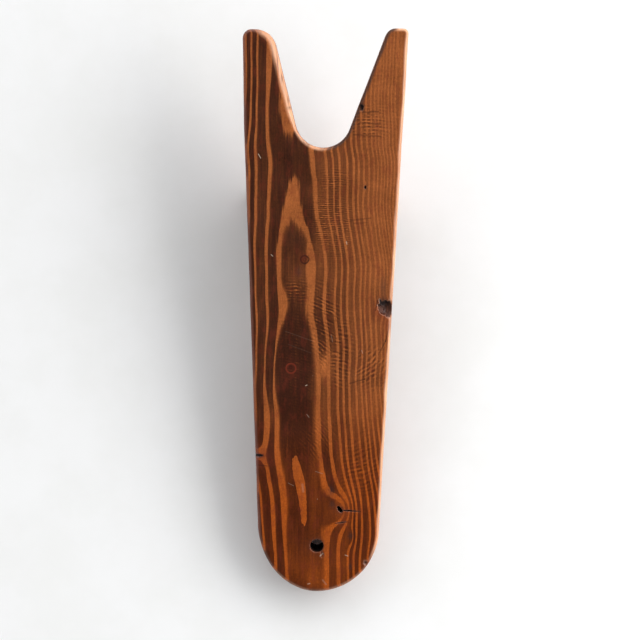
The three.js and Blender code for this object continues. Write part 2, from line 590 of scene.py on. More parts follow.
@dataclass(frozen=True)
class Scoop:
    """A hollow torn or worn into the wood, shaped as part of a rough oval ball."""

    centre: tuple
    radii: tuple
    push: tuple = (0.0, 0.0, -1.0)
    turn: float = 0.0
    rough: float = 0.2
    # how dark the hollow is made, deeper points darker: soiling and painted shade in it
    dirt_and_shade: float = 1.0

    def carve(self, points: np.ndarray) -> np.ndarray:
        """Pushes the points that lie inside the ball out to its far wall.

        Args:
            points: rows of across, along, up. They are moved in place.

        Returns:
            How far each point moved, in millimetres.
        """
        cosine, sine = math.cos(self.turn), math.sin(self.turn)
        level = np.array([[cosine, -sine, 0.0], [sine, cosine, 0.0], [0.0, 0.0, 1.0]])
        radii = np.array(self.radii)
        local = (points - np.array(self.centre)) @ level
        near = np.nonzero((np.abs(local) < 1.4 * radii).all(axis=1))[0]
        moved = np.zeros(len(points))
        if len(near) == 0:
            return moved
        away = local[near] / (np.linalg.norm(local[near], axis=1)[:, None] + 1e-9)
        lumps = ripple(away, 0.45, self.centre[0]) + 0.6 * ripple(away, 0.2, self.centre[1])
        reach = local[near] / (radii * (1 + self.rough * lumps)[:, None])
        way = (np.array(self.push) @ level) / radii
        # The far wall lies where a line along the push leaves the ball: a t^2 + 2 b t + c = 0.
        a = way @ way
        b = reach @ way
        c = (reach**2).sum(axis=1) - 1
        moved[near] = np.where(c < 0, (-b + np.sqrt(np.maximum(b * b - a * c, 0))) / a, 0)
        points += moved[:, None] * np.array(self.push)
        return moved


@dataclass(frozen=True)
class FineZone:
    """A round part of a face that is netted more finely."""

    across: float
    along: float
    radius: float
    spacing: float


@dataclass(frozen=True)
class Bore:
    """A drilled hole, as (radius, height) pairs from its lower mouth up."""

    across: float
    along: float
    profile: tuple
    blind: bool = False

    def ring(self, number: int, sides: int) -> np.ndarray:
        """Draws one ring of the hole's wall.

        Args:
            number: which pair of the profile.
            sides: points round the ring.

        Returns:
            Rows of across, along, up.
        """
        radius, height = self.profile[number]
        angles = np.linspace(0, FULL_TURN, sides, endpoint=False)
        across = self.across + radius * np.cos(angles)
        along = self.along + radius * np.sin(angles)
        return np.column_stack([across, along, np.full(sides, height)])


def side_rows(
    loop: np.ndarray,
    low: Union[float, np.ndarray],
    high: float,
    under: float,
    top: Union[float, np.ndarray],
    levels: tuple,
) -> list:
    """Draws the rings of a block's side, from the lower face's rim to the upper face's rim.

    Args:
        loop: the block's outline, anticlockwise.
        low: height of the lower face, the same all round or one for each outline point.
        high: height of the upper face.
        under: radius of the lower arris.
        top: radius of the upper arris.
        levels: places between the two arrises, from 0 to 1.

    Returns:
        One array of across, along, up for each ring.
    """
    inward = BoardPlan.inward(loop)
    ones = np.ones(len(loop))
    pairs = []
    for turn in np.linspace(0, QUARTER_TURN, UNDER_ARRIS_RINGS):
        pairs.append((under * (1 - math.sin(turn)), low + under * (1 - math.cos(turn))))
    for level in levels:
        pairs.append((0.0, (low + under) * (1 - level) + (high - top) * level))
    for turn in np.linspace(QUARTER_TURN, 0, TOP_ARRIS_RINGS):
        pairs.append((top * (1 - math.sin(turn)), high - top * (1 - math.cos(turn))))
    return [
        np.column_stack([loop + inward * (ones * inset)[:, None], ones * height])
        for inset, height in pairs
    ]


class Slab:
    """Nets a block: its sides ring by ring, its bores, and both faces with a fine even grid."""

    BORE_SIDES = 48
    CLEARANCE = 0.62  # least gap between a rim and the grid, in grid spacings

    def __init__(self, rows: list, bores: tuple = ()) -> None:
        """Nets the sides and the bores.

        Args:
            rows: rings of the side, from side_rows.
            bores: the Bore holes.
        """
        self.points = []
        self.faces = []
        self.count = 0
        sides = [self._add(row) for row in rows]
        self._skin(sides, outward=True)
        self.low_rims = [sides[0]]
        self.high_rims = [sides[-1]]
        for bore in bores:
            rings = [self._add(bore.ring(i, self.BORE_SIDES)) for i in range(len(bore.profile))]
            self._skin(rings, outward=False)
            self.low_rims.append(rings[0])
            if bore.blind:
                self._close(rings[-1])
            else:
                self.high_rims.append(rings[-1])

    def _add(self, points: np.ndarray) -> list:
        """Adds vertices.

        Args:
            points: rows of across, along, up.

        Returns:
            Their numbers.
        """
        self.points.append(np.asarray(points, float))
        self.count += len(points)
        return list(range(self.count - len(points), self.count))

    def _skin(self, rings: list, outward: bool) -> None:
        """Joins rings that lie one above the other.

        Args:
            rings: vertex numbers of each ring, from the lowest up.
            outward: whether the faces look away from the ring's middle.
        """
        for low, high in zip(rings, rings[1:]):
            for i in range(len(low)):
                j = (i + 1) % len(low)
                quad = (low[i], low[j], high[j], high[i])
                self.faces.append(quad if outward else quad[::-1])

    def _close(self, ring: list) -> None:
        """Closes the end of a blind bore with one vertex.

        Args:
            ring: the vertex numbers of its last ring.
        """
        places = self.vertices()[ring]
        tip = self._add(places.mean(axis=0)[None, :])[0]
        for i, first in enumerate(ring):
            self.faces.append((ring[(i + 1) % len(ring)], first, tip))

    def vertices(self) -> np.ndarray:
        """Returns every vertex so far."""
        return np.vstack(self.points)

    def face(self, upper: bool, spacing: tuple, zones: tuple = (),
             height: Optional[Callable] = None) -> None:
        """Nets one of the two faces with triangles.

        Args:
            upper: whether it is the upper face.
            spacing: distance between points across and along.
            zones: the FineZone parts.
            height: gives a point's height from its distance along, or None for the rim's own height.
        """
        rims = self.high_rims if upper else self.low_rims
        places = self.vertices()
        loops = [places[rim] for rim in rims]
        inner = self._grid([loop[:, :2] for loop in loops], spacing, zones)
        level = np.full(len(inner), loops[0][0, 2]) if height is None else height(inner[:, 1])
        added = self._add(np.column_stack([inner, level]))
        numbers = [n for rim in rims for n in rim] + added
        flat = np.vstack([loop[:, :2] for loop in loops] + [inner])
        edges = []
        start = 0
        for rim in rims:
            edges += [(start + i, start + (i + 1) % len(rim)) for i in range(len(rim))]
            start += len(rim)
        made, _, triangles, origins, _, _ = delaunay_2d_cdt(
            [Vector(p) for p in flat.tolist()], edges, [], KEEP_INSIDE, SAME_PLACE)
        source = [numbers[origin[0]] for origin in origins]
        middles = np.array([sum((made[i] for i in t), Vector((0, 0))) / 3 for t in triangles])
        keep = np.ones(len(triangles), bool)
        for loop in loops[1:]:
            keep &= ~self._inside(middles, loop[:, :2])
        for triangle, kept in zip(triangles, keep):
            if kept:
                corners = tuple(source[i] for i in triangle)
                self.faces.append(corners if upper else corners[::-1])

    @staticmethod
    def _inside(points: np.ndarray, loop: np.ndarray) -> np.ndarray:
        """Tells which points lie inside a closed loop.

        Args:
            points: rows of across, along.
            loop: the loop's corners.

        Returns:
            True for each point inside.
        """
        x, y = points.T
        result = np.zeros(len(points), bool)
        for (x0, y0), (x1, y1) in zip(loop, np.roll(loop, -1, axis=0)):
            if y0 != y1:
                result ^= ((y0 > y) != (y1 > y)) & (x < (x1 - x0) * (y - y0) / (y1 - y0) + x0)
        return result

    def _grid(self, loops: list, spacing: tuple, zones: tuple) -> np.ndarray:
        """Lays points over a face, clear of its rims.

        Args:
            loops: the outer rim and the rims of the bores.
            spacing: distance between points across and along.
            zones: the FineZone parts.

        Returns:
            Rows of across, along.
        """
        low, high = loops[0].min(axis=0), loops[0].max(axis=0)
        points = self._lattice(low, high, spacing)
        gaps = np.full(len(points), self.CLEARANCE * min(spacing))
        for zone in zones:
            middle = np.array([zone.across, zone.along])
            outside = np.linalg.norm(points - middle, axis=1) > zone.radius
            points, gaps = points[outside], gaps[outside]
            close = (zone.spacing, zone.spacing)
            fine = self._lattice(middle - zone.radius, middle + zone.radius, close)
            fine = fine[np.linalg.norm(fine - middle, axis=1) <= zone.radius]
            points = np.vstack([points, fine])
            gaps = np.concatenate([gaps, np.full(len(fine), self.CLEARANCE * zone.spacing)])
        keep = self._inside(points, loops[0])
        for loop in loops[1:]:
            keep &= ~self._inside(points, loop)
        rim = np.vstack(loops)
        tree = KDTree(len(rim))
        for i, place in enumerate(rim):
            tree.insert((*place, 0.0), i)
        tree.balance()
        clear = [tree.find((*place, 0.0))[2] > gap if kept else False
                 for place, gap, kept in zip(points, gaps, keep)]
        return points[np.array(clear)]

    @staticmethod
    def _lattice(low: np.ndarray, high: np.ndarray, spacing: tuple) -> np.ndarray:
        """Lays staggered rows of points over a rectangle.

        Args:
            low: its lowest corner.
            high: its highest corner.
            spacing: distance between points across and along.

        Returns:
            Rows of across, along.
        """
        across = np.arange(low[0], high[0], spacing[0])
        along = np.arange(low[1], high[1], spacing[1])
        rows = [np.column_stack([across + 0.5 * spacing[0] * (i % 2), np.full(len(across), y)])
                for i, y in enumerate(along)]
        return np.vstack(rows)


# ---- Materials ----------------------------------------------------------------------------


def tint(red: int, green: int, blue: int) -> tuple:
    """Turns a paint-chart colour into the linear colour that shaders use.

    Args:
        red: 0 to 255.
        green: 0 to 255.
        blue: 0 to 255.

    Returns:
        Linear red, green, blue and alpha.
    """
    parts = [value / 255 for value in (red, green, blue)]
    linear = [p / 12.92 if p <= 0.04045 else ((p + 0.055) / 1.055) ** 2.4 for p in parts]
    return (*linear, 1.0)


class Graph:
    """Builds the nodes of one material or of the room's light, a value at a time."""

    NUMBER_OUTPUT = 2  # of the node that reads a mesh's stored values
    VECTOR_OUTPUT = 1

    def __init__(self, owner: bpy.types.ID) -> None:
        """Starts on the owner's nodes.

        Args:
            owner: the material or the world that holds them.
        """
        owner.use_nodes = True
        self.owner = owner
        self.tree = owner.node_tree

    def node(self, kind: str, inputs: dict, output: int = 0, **settings) -> Socket:
        """Adds a node.

        Args:
            kind: Blender's node type.
            inputs: socket name or number to a value or to another node's output.
            output: which output to hand back.
            settings: the node's own properties.

        Returns:
            The chosen output socket.
        """
        made = self.tree.nodes.new(kind)
        for key, value in settings.items():
            setattr(made, key, value)
        for key, value in inputs.items():
            self.feed(made.inputs[key], value)
        return made.outputs[output]

    def feed(self, socket: Socket, value: Value) -> None:
        """Links a socket to another, or sets its value.

        Args:
            socket: the input.
            value: another node's output, or a number, vector or colour.
        """
        if isinstance(value, Socket):
            self.tree.links.new(value, socket)
        else:
            socket.default_value = value

    def attribute(self, name: str) -> Socket:
        """Reads a number stored on the mesh."""
        return self.node("ShaderNodeAttribute", {}, self.NUMBER_OUTPUT, attribute_name=name)

    def place(self, name: str) -> Socket:
        """Reads a vector stored on the mesh."""
        return self.node("ShaderNodeAttribute", {}, self.VECTOR_OUTPUT, attribute_name=name)

    def sum(self, first: Value, second: Value) -> Socket:
        """Adds two numbers."""
        return self.node("ShaderNodeMath", {0: first, 1: second}, operation="ADD")

    def less(self, first: Value, second: Value) -> Socket:
        """Takes the second number from the first."""
        return self.node("ShaderNodeMath", {0: first, 1: second}, operation="SUBTRACT")

    def times(self, first: Value, second: Value) -> Socket:
        """Multiplies two numbers."""
        return self.node("ShaderNodeMath", {0: first, 1: second}, operation="MULTIPLY")

    def blend(self, value: Value, scale: Value, shift: Value) -> Socket:
        """Multiplies a number and then adds to it."""
        return self.node("ShaderNodeMath", {0: value, 1: scale, 2: shift}, operation="MULTIPLY_ADD")

    def round_down(self, value: Value) -> Socket:
        """Rounds a number down."""
        return self.node("ShaderNodeMath", {0: value}, operation="FLOOR")

    def fraction(self, value: Value) -> Socket:
        """Returns what is left after rounding down."""
        return self.less(value, self.round_down(value))

    def clip(self, value: Value) -> Socket:
        """Holds a number between 0 and 1."""
        return self.node("ShaderNodeClamp", {"Value": value})

    def ease(self, low: Value, high: Value, value: Value) -> Socket:
        """Smooth step from 0 at low to 1 at high."""
        inputs = {"Value": value, "From Min": low, "From Max": high}
        return self.node("ShaderNodeMapRange", inputs, interpolation_type="SMOOTHSTEP")

    def stretch(self, vector: Value, scale: tuple) -> Socket:
        """Scales a vector."""
        return self.node("ShaderNodeVectorMath", {0: vector, 1: scale}, operation="MULTIPLY")

    def height(self, vector: Value) -> Socket:
        """Returns a vector's upward part."""
        return self.node("ShaderNodeSeparateXYZ", {0: vector}, 2)

    def noise(self, vector: Value, scale: float, detail: float = 2.0, rough: float = 0.5) -> Socket:
        """Adds cloudy noise.

        Args:
            vector: where to read it.
            scale: lumps for each unit.
            detail: how many finer layers.
            rough: how strong the finer layers are.

        Returns:
            A number around 0.5.
        """
        inputs = {"Vector": vector, "Scale": scale, "Detail": detail, "Roughness": rough}
        return self.node("ShaderNodeTexNoise", inputs)

    def chance(self, value: Value) -> Socket:
        """Returns a random number from 0 to 1 that belongs to a value."""
        return self.node("ShaderNodeTexWhiteNoise", {"W": value}, noise_dimensions="1D")

    def specks(self, vector: Value, scale: float, size: float) -> Socket:
        """Scatters small dots.

        Args:
            vector: where to read them.
            scale: cells for each unit.
            size: radius of a dot, in cells.

        Returns:
            1 inside a dot and 0 outside.
        """
        inputs = {"Vector": vector, "Scale": scale}
        return self.ease(size, 0.5 * size, self.node("ShaderNodeTexVoronoi", inputs))

    def reach(self, place: Value, start: tuple, end: tuple) -> Socket:
        """Measures how far a place is from a straight line.

        Args:
            place: where to measure, with its height flattened to 0.
            start: the line's start, across and along.
            end: its end, which may be its start.

        Returns:
            The distance in the place's own unit.
        """
        way = (end[0] - start[0], end[1] - start[1], 0.0)
        square = max(way[0] ** 2 + way[1] ** 2, 1e-6)
        from_start = self.node("ShaderNodeVectorMath", {0: place, 1: (*start, 0.0)}, operation="SUBTRACT")
        pull = (way[0] / square, way[1] / square, 0.0)
        along = self.node("ShaderNodeVectorMath", {0: from_start, 1: pull}, 1, operation="DOT_PRODUCT")
        part = self.clip(along)
        line = self.node("ShaderNodeVectorMath", {0: way, "Scale": part}, operation="SCALE")
        return self.node("ShaderNodeVectorMath", {0: from_start, 1: line}, 1, operation="DISTANCE")

    def fade(self, gap: Value, width: float) -> Socket:
        """Returns 1 on a line and 0 beyond its width."""
        return self.ease(width, 0.25 * width, gap)

    def mix(self, share: Value, first: Value, second: Value, mode: str = "MIX") -> Socket:
        """Mixes two colours.

        Args:
            share: how much of the second shows.
            first: the colour underneath.
            second: the colour laid on.
            mode: Blender's way of mixing.

        Returns:
            The mixed colour.
        """
        made = self.tree.nodes.new("ShaderNodeMix")
        made.data_type = "RGBA"
        made.blend_type = mode
        for number, value in ((0, share), (6, first), (7, second)):
            self.feed(made.inputs[number], value)
        return made.outputs[2]

    def bump(self, height: Value, depth: float, below: Optional[Socket] = None) -> Socket:
        """Turns a height into a bent normal.

        Args:
            height: the relief, from 0 to 1.
            depth: its depth in millimetres.
            below: a coarser bent normal to start from.

        Returns:
            The bent normal.
        """
        inputs = {"Height": height, "Strength": 1.0, "Distance": depth * MM}
        if below is not None:
            inputs["Normal"] = below
        return self.node("ShaderNodeBump", inputs)

    def surface(self, **inputs) -> bpy.types.Material:
        """Connects the shader.

        Args:
            inputs: the shader's socket names, with _ for a space, and their values.

        Returns:
            The finished material.
        """
        shader = self.tree.nodes["Principled BSDF"]
        for key, value in inputs.items():
            self.feed(shader.inputs[key.replace("_", " ")], value)
        return self.owner


@dataclass(frozen=True)
class Layer:
    """One layer of cloudy noise in the wood, drawn out along the grain."""

    stretch: tuple
    detail: float = 2.0
    rough: float = 0.5

    def draw(self, g: Graph, place: Value) -> Socket:
        """Returns the layer's value, around 0.5, at a place in the wood."""
        return g.noise(g.stretch(place, self.stretch), 1.0, self.detail, self.rough)


class Shade(Enum):
    """What a small mark on the board looks like."""

    GRIME = "grime_and_shade"
    RESIN = "resin"
    SCRATCH = "scratch"


@dataclass(frozen=True)
class Stroke:
    """A short straight mark on the board's face; its two ends may be one place."""

    shade: Shade
    start: tuple
    end: tuple
    width: float
    strength: float = 1.0


@dataclass(frozen=True)
class StainedPine:
    """Old pine under a brown stain and a worn satin varnish, drawn from the board's own rings.

    The stain sinks into the soft, wide part of each ring and leaves the hard latewood light.
    """

    name: str = "stained_pine"
    light: tuple = tint(172, 97, 49)
    light_amber: tuple = tint(176, 84, 24)
    dark: tuple = tint(50, 22, 12)
    dark_amber: tuple = tint(58, 19, 3)
    red: tuple = tint(112, 44, 28)
    # dark colour of grime, cracks and painted shade
    black: tuple = tint(30, 13, 9)
    # painted highlight and wear: pale colour laid on the arrises that face the light and on worn ones
    rubbed_and_lit: tuple = tint(226, 166, 126)
    dust: tuple = tint(205, 185, 165)
    strokes: tuple = (
        Stroke(Shade.GRIME, (47.5, 191), (45, 180), 0.7, 0.6),
        Stroke(Shade.GRIME, (45, 180), (41, 172), 0.7, 0.5),
        Stroke(Shade.GRIME, (39, 208), (37.5, 201), 0.6, 0.7),
        Stroke(Shade.GRIME, (-8.4, 238.5), (-7.4, 234.5), 0.5, 0.4),
        Stroke(Shade.GRIME, (17, 59.8), (30, 59), 0.5, 0.8),
        Stroke(Shade.GRIME, (12, 50.2), (21, 51.6), 0.55, 0.6),
        Stroke(Shade.GRIME, (-46, 92), (-36, 91), 0.6, 0.7),
        Stroke(Shade.GRIME, (26.5, 335.3), (37, 335.8), 0.9, 0.5),
        Stroke(Shade.GRIME, (28, 333.2), (34, 333.4), 0.8, 0.3),
        Stroke(Shade.GRIME, (25, 328.6), (38, 327.2), 0.9, 0.42),
        Stroke(Shade.GRIME, (24, 325.6), (35, 325.2), 0.8, 0.3),
        Stroke(Shade.GRIME, (22, 320.0), (39, 319.3), 0.8, 0.42),
        Stroke(Shade.GRIME, (20, 262.6), (33, 264.2), 0.9, 0.35),
        Stroke(Shade.GRIME, (22, 260.4), (31, 261.2), 0.8, 0.3),
        Stroke(Shade.GRIME, (21, 150.2), (31, 153.2), 0.8, 0.5),
        Stroke(Shade.GRIME, (31, 153.2), (37, 157.0), 0.8, 0.4),
        Stroke(Shade.GRIME, (-46, 98.5), (-39, 98.5), 1.1, 0.9),
        Stroke(Shade.SCRATCH, (-43.2, 306.5), (-41.6, 303.8), 0.35, 0.8),
        Stroke(Shade.SCRATCH, (-34, 238.6), (-33, 237.6), 0.4, 0.6),
        Stroke(Shade.SCRATCH, (17, 248), (17.4, 246.5), 0.5, 0.5),
        Stroke(Shade.SCRATCH, (-9.6, 148.2), (-8.6, 148.6), 0.5, 0.6),
        Stroke(Shade.SCRATCH, (-8.5, 128), (-7, 126), 0.4, 0.25),
        Stroke(Shade.SCRATCH, (-2, 87.5), (3, 86), 0.3, 0.22),
        Stroke(Shade.SCRATCH, (-21, 79), (-17, 77), 0.3, 0.2),
        Stroke(Shade.SCRATCH, (28.7, 173.5), (29.4, 171.4), 0.4, 0.3),
        Stroke(Shade.SCRATCH, (7.6, 184), (8.6, 179), 0.3, 0.2),
        Stroke(Shade.SCRATCH, (19.5, 27.5), (21.5, 26.8), 0.4, 0.5),
        Stroke(Shade.SCRATCH, (-6.4, 6), (-5, 6.4), 0.5, 0.45),
        Stroke(Shade.SCRATCH, (2, 26.5), (4, 28.5), 0.6, 0.4),
        Stroke(Shade.SCRATCH, (-11, 78), (-10.4, 73), 1.2, 0.12),
        Stroke(Shade.SCRATCH, (4, 9), (6.5, 6), 0.9, 0.14),
        Stroke(Shade.SCRATCH, (-24, 186), (-4, 179), 0.25, 0.07),
        Stroke(Shade.SCRATCH, (-22, 177), (-6, 171), 0.25, 0.05),
    )
    pin_knots: tuple = (
        (Shade.GRIME, (-11.2, 235.5), 2.6, 0.9, 0.85),
        (Shade.GRIME, (-11.2, 235.5), 1.0, 0.7, 0.5),
        (Shade.RESIN, (-19.8, 160.2), 3.3, 0.8, 0.95),
        (Shade.GRIME, (-20, 161), 0.8, 0.9, 0.8),
    )

    fibre: Layer = Layer((0.95, 0.045, 0.95), 4.0, 0.6)
    coarse: Layer = Layer((0.40, 0.018, 0.40), 2.0, 0.55)
    hair: Layer = Layer((3.2, 0.16, 3.2), 3.0, 0.6)
    figure: Layer = Layer((0.10, 1.3, 0.3), 3.0, 0.6)
    grit: Layer = Layer((1.1, 0.6, 1.1), 3.0, 0.7)
    flush: Layer = Layer((0.22, 0.09, 0.22), 3.0, 0.7)
    waves: Layer = Layer((0.09, 0.035, 0.09), 1.0)
    stain_strength: float = 1.9
    pore_depth: float = 0.42
    flush_depth: float = 0.34
    relief_depth: float = 0.05  # millimetres
    wave_depth: float = 0.5

    def build(self) -> bpy.types.Material:
        """Builds the board's material.

        Returns:
            The material, which reads the board's stored grain values.
        """
        g = Graph(bpy.data.materials.new(self.name))
        wood = g.place("wood")
        fibre = self.fibre.draw(g, wood)
        coarse = self.coarse.draw(g, wood)
        hair = self.hair.draw(g, wood)
        cloud = g.noise(wood, 0.055, 3.0, 0.55)
        light, own = self._rings(g, fibre, coarse)
        ticks = self._ticks(g)
        stain = self._stain(g, light, own, fibre, coarse, ticks)
        amber = g.attribute("amber")
        deep = g.mix(amber, self.dark, self.dark_amber)
        colour = g.mix(stain, g.mix(amber, self.light, self.light_amber), deep)
        streak = self._streaks(g, wood, fibre, hair, cloud)
        colour = g.mix(1.0, colour, streak, "MULTIPLY")
        colour = g.mix(g.times(g.ease(0.57, 0.70, hair), self.pore_depth), colour, deep)
        flush = g.ease(0.48, 0.72, self.flush.draw(g, wood))
        colour = g.mix(g.times(flush, self.flush_depth), colour, self.red)
        colour = self._marks(g, wood, colour)
        colour = self._wear(g, wood, coarse, cloud, colour)
        relief = g.blend(light, 0.45, g.blend(fibre, 0.6, g.times(ticks, -0.35)))
        waves = g.bump(self.waves.draw(g, wood), self.wave_depth)
        return g.surface(
            Base_Color=colour,
            Roughness=self._shine(g, wood, cloud, hair),
            Normal=g.bump(relief, self.relief_depth, waves),
            Specular_IOR_Level=0.32,
            Coat_Weight=0.10,
            Coat_Roughness=0.18,
        )

    def _streaks(self, g: Graph, wood: Value, fibre: Value, hair: Value, cloud: Value) -> Socket:
        """Draws the light and dark streaks and flecks that lie over the whole board.

        Args:
            g: the material's graph.
            wood: place in the board, in millimetres.
            fibre: fine streaks along the grain.
            hair: the finest streaks.
            cloud: broad patches.

        Returns:
            A grey to multiply the colour with.
        """
        across = g.ease(0.35, 0.65, self.figure.draw(g, wood))
        grit = g.ease(0.25, 0.75, self.grit.draw(g, wood))
        flecks = g.blend(grit, 0.42, g.times(g.less(across, 0.5), 0.10))
        broad = g.blend(cloud, 0.6, g.blend(hair, 0.92, -0.11))
        streak = g.sum(g.blend(g.ease(0.30, 0.70, fibre), 0.36, broad), flecks)
        return g.node("ShaderNodeCombineColor", {0: streak, 1: streak, 2: streak})

    def _wear(self, g: Graph, wood: Value, coarse: Value, cloud: Value, colour: Value) -> Socket:
        """Pales the arrises with wear and painted highlight, darkens with soiling and painted shade, and
        scatters dust over the colour.

        Args:
            g: the material's graph.
            wood: place in the board, in millimetres.
            coarse: wide streaks along the grain.
            cloud: broad patches.
            colour: the colour underneath.

        Returns:
            The worn colour.
        """
        # Pale arrises: wear, and painted highlight on the edges that face the light.
        rubbed_and_lit = g.times(g.attribute("worn"), g.ease(0.15, 0.5, coarse))
        colour = g.mix(rubbed_and_lit, colour, self.rubbed_and_lit)
        # Dark soiling and painted shade: in the scooped hollows, on the hanging hole's wall and along the
        # right side of the heel notch.
        caked_and_shaded = g.times(g.attribute("grime_and_shade"), g.ease(0.10, 0.42, g.noise(wood, 0.8, 3.0, 0.6)))
        colour = g.mix(g.clip(caked_and_shaded), colour, self.black)
        dots = g.times(g.specks(wood, 0.06, 0.016), g.ease(0.5, 0.6, cloud))
        return g.mix(g.times(dots, 0.6), colour, self.dust)

    def _shine(self, g: Graph, wood: Value, cloud: Value, hair: Value) -> Socket:
        """Works out how rough the surface is: satin on the face, duller where soiling and painted shade
        are stored and on the sides.

        Args:
            g: the material's graph.
            wood: place in the board, in millimetres.
            cloud: broad patches.
            hair: the finest streaks.

        Returns:
            The roughness.
        """
        glossy = g.clip(g.times(g.attribute("resin"), 1.8))
        dull = g.times(g.clip(g.attribute("grime_and_shade")), g.less(1.0, glossy))
        shine = g.blend(cloud, 0.16, g.blend(hair, 0.08, g.times(dull, 0.5)))
        side = g.ease(18.9, 16.0, g.height(wood))
        return g.sum(shine, g.blend(side, 0.30, 0.20))

    def _rings(self, g: Graph, fibre: Value, coarse: Value) -> tuple:
        """Draws the light and dark part of each ring.

        Args:
            g: the material's graph.
            fibre: fine streaks along the grain.
            coarse: wide streaks along the grain.

        Returns:
            Where the latewood shows, and a random number that belongs to the ring.
        """
        feather = g.attribute("feather")
        fray = g.times(g.less(fibre, 0.5), g.blend(feather, 0.34, 0.07))
        drift = g.times(g.less(coarse, 0.5), g.blend(feather, 0.05, 0.22))
        number = g.sum(g.attribute("ring"), g.sum(fray, drift))
        own = g.chance(g.round_down(number))
        part = g.fraction(number)
        share = g.sum(g.attribute("share"), g.blend(own, 0.16, -0.08))
        start = g.less(1.0, share)
        rise = g.ease(g.less(start, 0.09), g.sum(start, 0.07), part)
        fall = g.ease(1.0, 0.93, part)
        return g.times(rise, fall), own

    def _stain(
        self, g: Graph, light: Value, own: Value, fibre: Value, coarse: Value, ticks: Value
    ) -> Socket:
        """Works out how dark each point is.

        Args:
            g: the material's graph.
            light: where the latewood shows.
            own: a random number for each ring.
            fibre: fine streaks.
            coarse: wide streaks.
            ticks: tool marks that hold stain.

        Returns:
            0 on bare latewood to 1 on the deepest stain.
        """
        soft = g.less(1.0, light)
        mottle = g.blend(coarse, 0.80, g.blend(own, 0.30, 0.45))
        threads = g.ease(0.36, 0.66, fibre)
        depth = g.times(g.times(g.attribute("stain"), mottle), g.blend(threads, 0.55, 0.72))
        held = g.times(ticks, g.blend(soft, 0.50, 0.26))
        skim = g.blend(threads, 0.20, 0.02)
        taken = g.sum(g.times(soft, depth), g.sum(held, g.times(light, skim)))
        left = g.node("ShaderNodeMath", {0: g.times(taken, -self.stain_strength)}, operation="EXPONENT")
        return g.less(1.0, left)

    def _ticks(self, g: Graph) -> Socket:
        """Draws the short curved marks that a tool left across the grain.

        Args:
            g: the material's graph.

        Returns:
            1 on a mark, 0 off it, and below 0 on the bare strips between marks.
        """
        sweep = g.place("sweep")
        waver = g.noise(g.stretch(sweep, (0.13, 0.35, 1.0)), 1.0, 2.0, 0.5)
        rows = g.node("ShaderNodeSeparateXYZ", {0: sweep}, 1)
        phase = g.blend(rows, FULL_TURN, g.times(waver, 9.0))
        wave = g.node("ShaderNodeMath", {0: phase}, operation="SINE")
        strength = g.ease(0.38, 0.62, g.noise(g.stretch(sweep, (0.22, 0.5, 1.0)), 1.0, 1.0))
        return g.times(g.times(wave, strength), g.attribute("sawn"))

    def _marks(self, g: Graph, wood: Value, colour: Value) -> Socket:
        """Lays the small marks and pin knots of the face over the colour.

        Args:
            g: the material's graph.
            wood: place in the board, in millimetres.
            colour: the colour underneath.

        Returns:
            The marked colour.
        """
        shades = {Shade.GRIME: self.black, Shade.RESIN: self.red, Shade.SCRATCH: self.dust}
        flat = g.stretch(wood, (1.0, 1.0, 0.0))
        face = g.ease(12.0, 16.0, g.height(wood))
        ragged = g.noise(wood, 0.9, 2.0)
        for shade in (Shade.RESIN, Shade.GRIME, Shade.SCRATCH):
            total = 0.0
            for mark in self.strokes:
                if mark.shade is shade:
                    gap = g.reach(flat, mark.start, mark.end)
                    total = g.sum(total, g.times(g.fade(gap, mark.width), mark.strength))
            for kind, middle, radius, width, strength in self.pin_knots:
                if kind is shade:
                    gap = g.less(g.reach(flat, middle, middle), radius)
                    gap = g.node("ShaderNodeMath", {0: gap}, operation="ABSOLUTE")
                    total = g.sum(total, g.times(g.fade(gap, width), strength))
            total = g.times(g.times(total, face), g.blend(ragged, 1.0, 0.45))
            colour = g.mix(g.clip(total), colour, shades[shade])
        # Red of the resin spots, and the painted shade of the left arris, which the resin attribute also
        # carries.
        return g.mix(g.clip(g.attribute("resin")), colour, self.red)


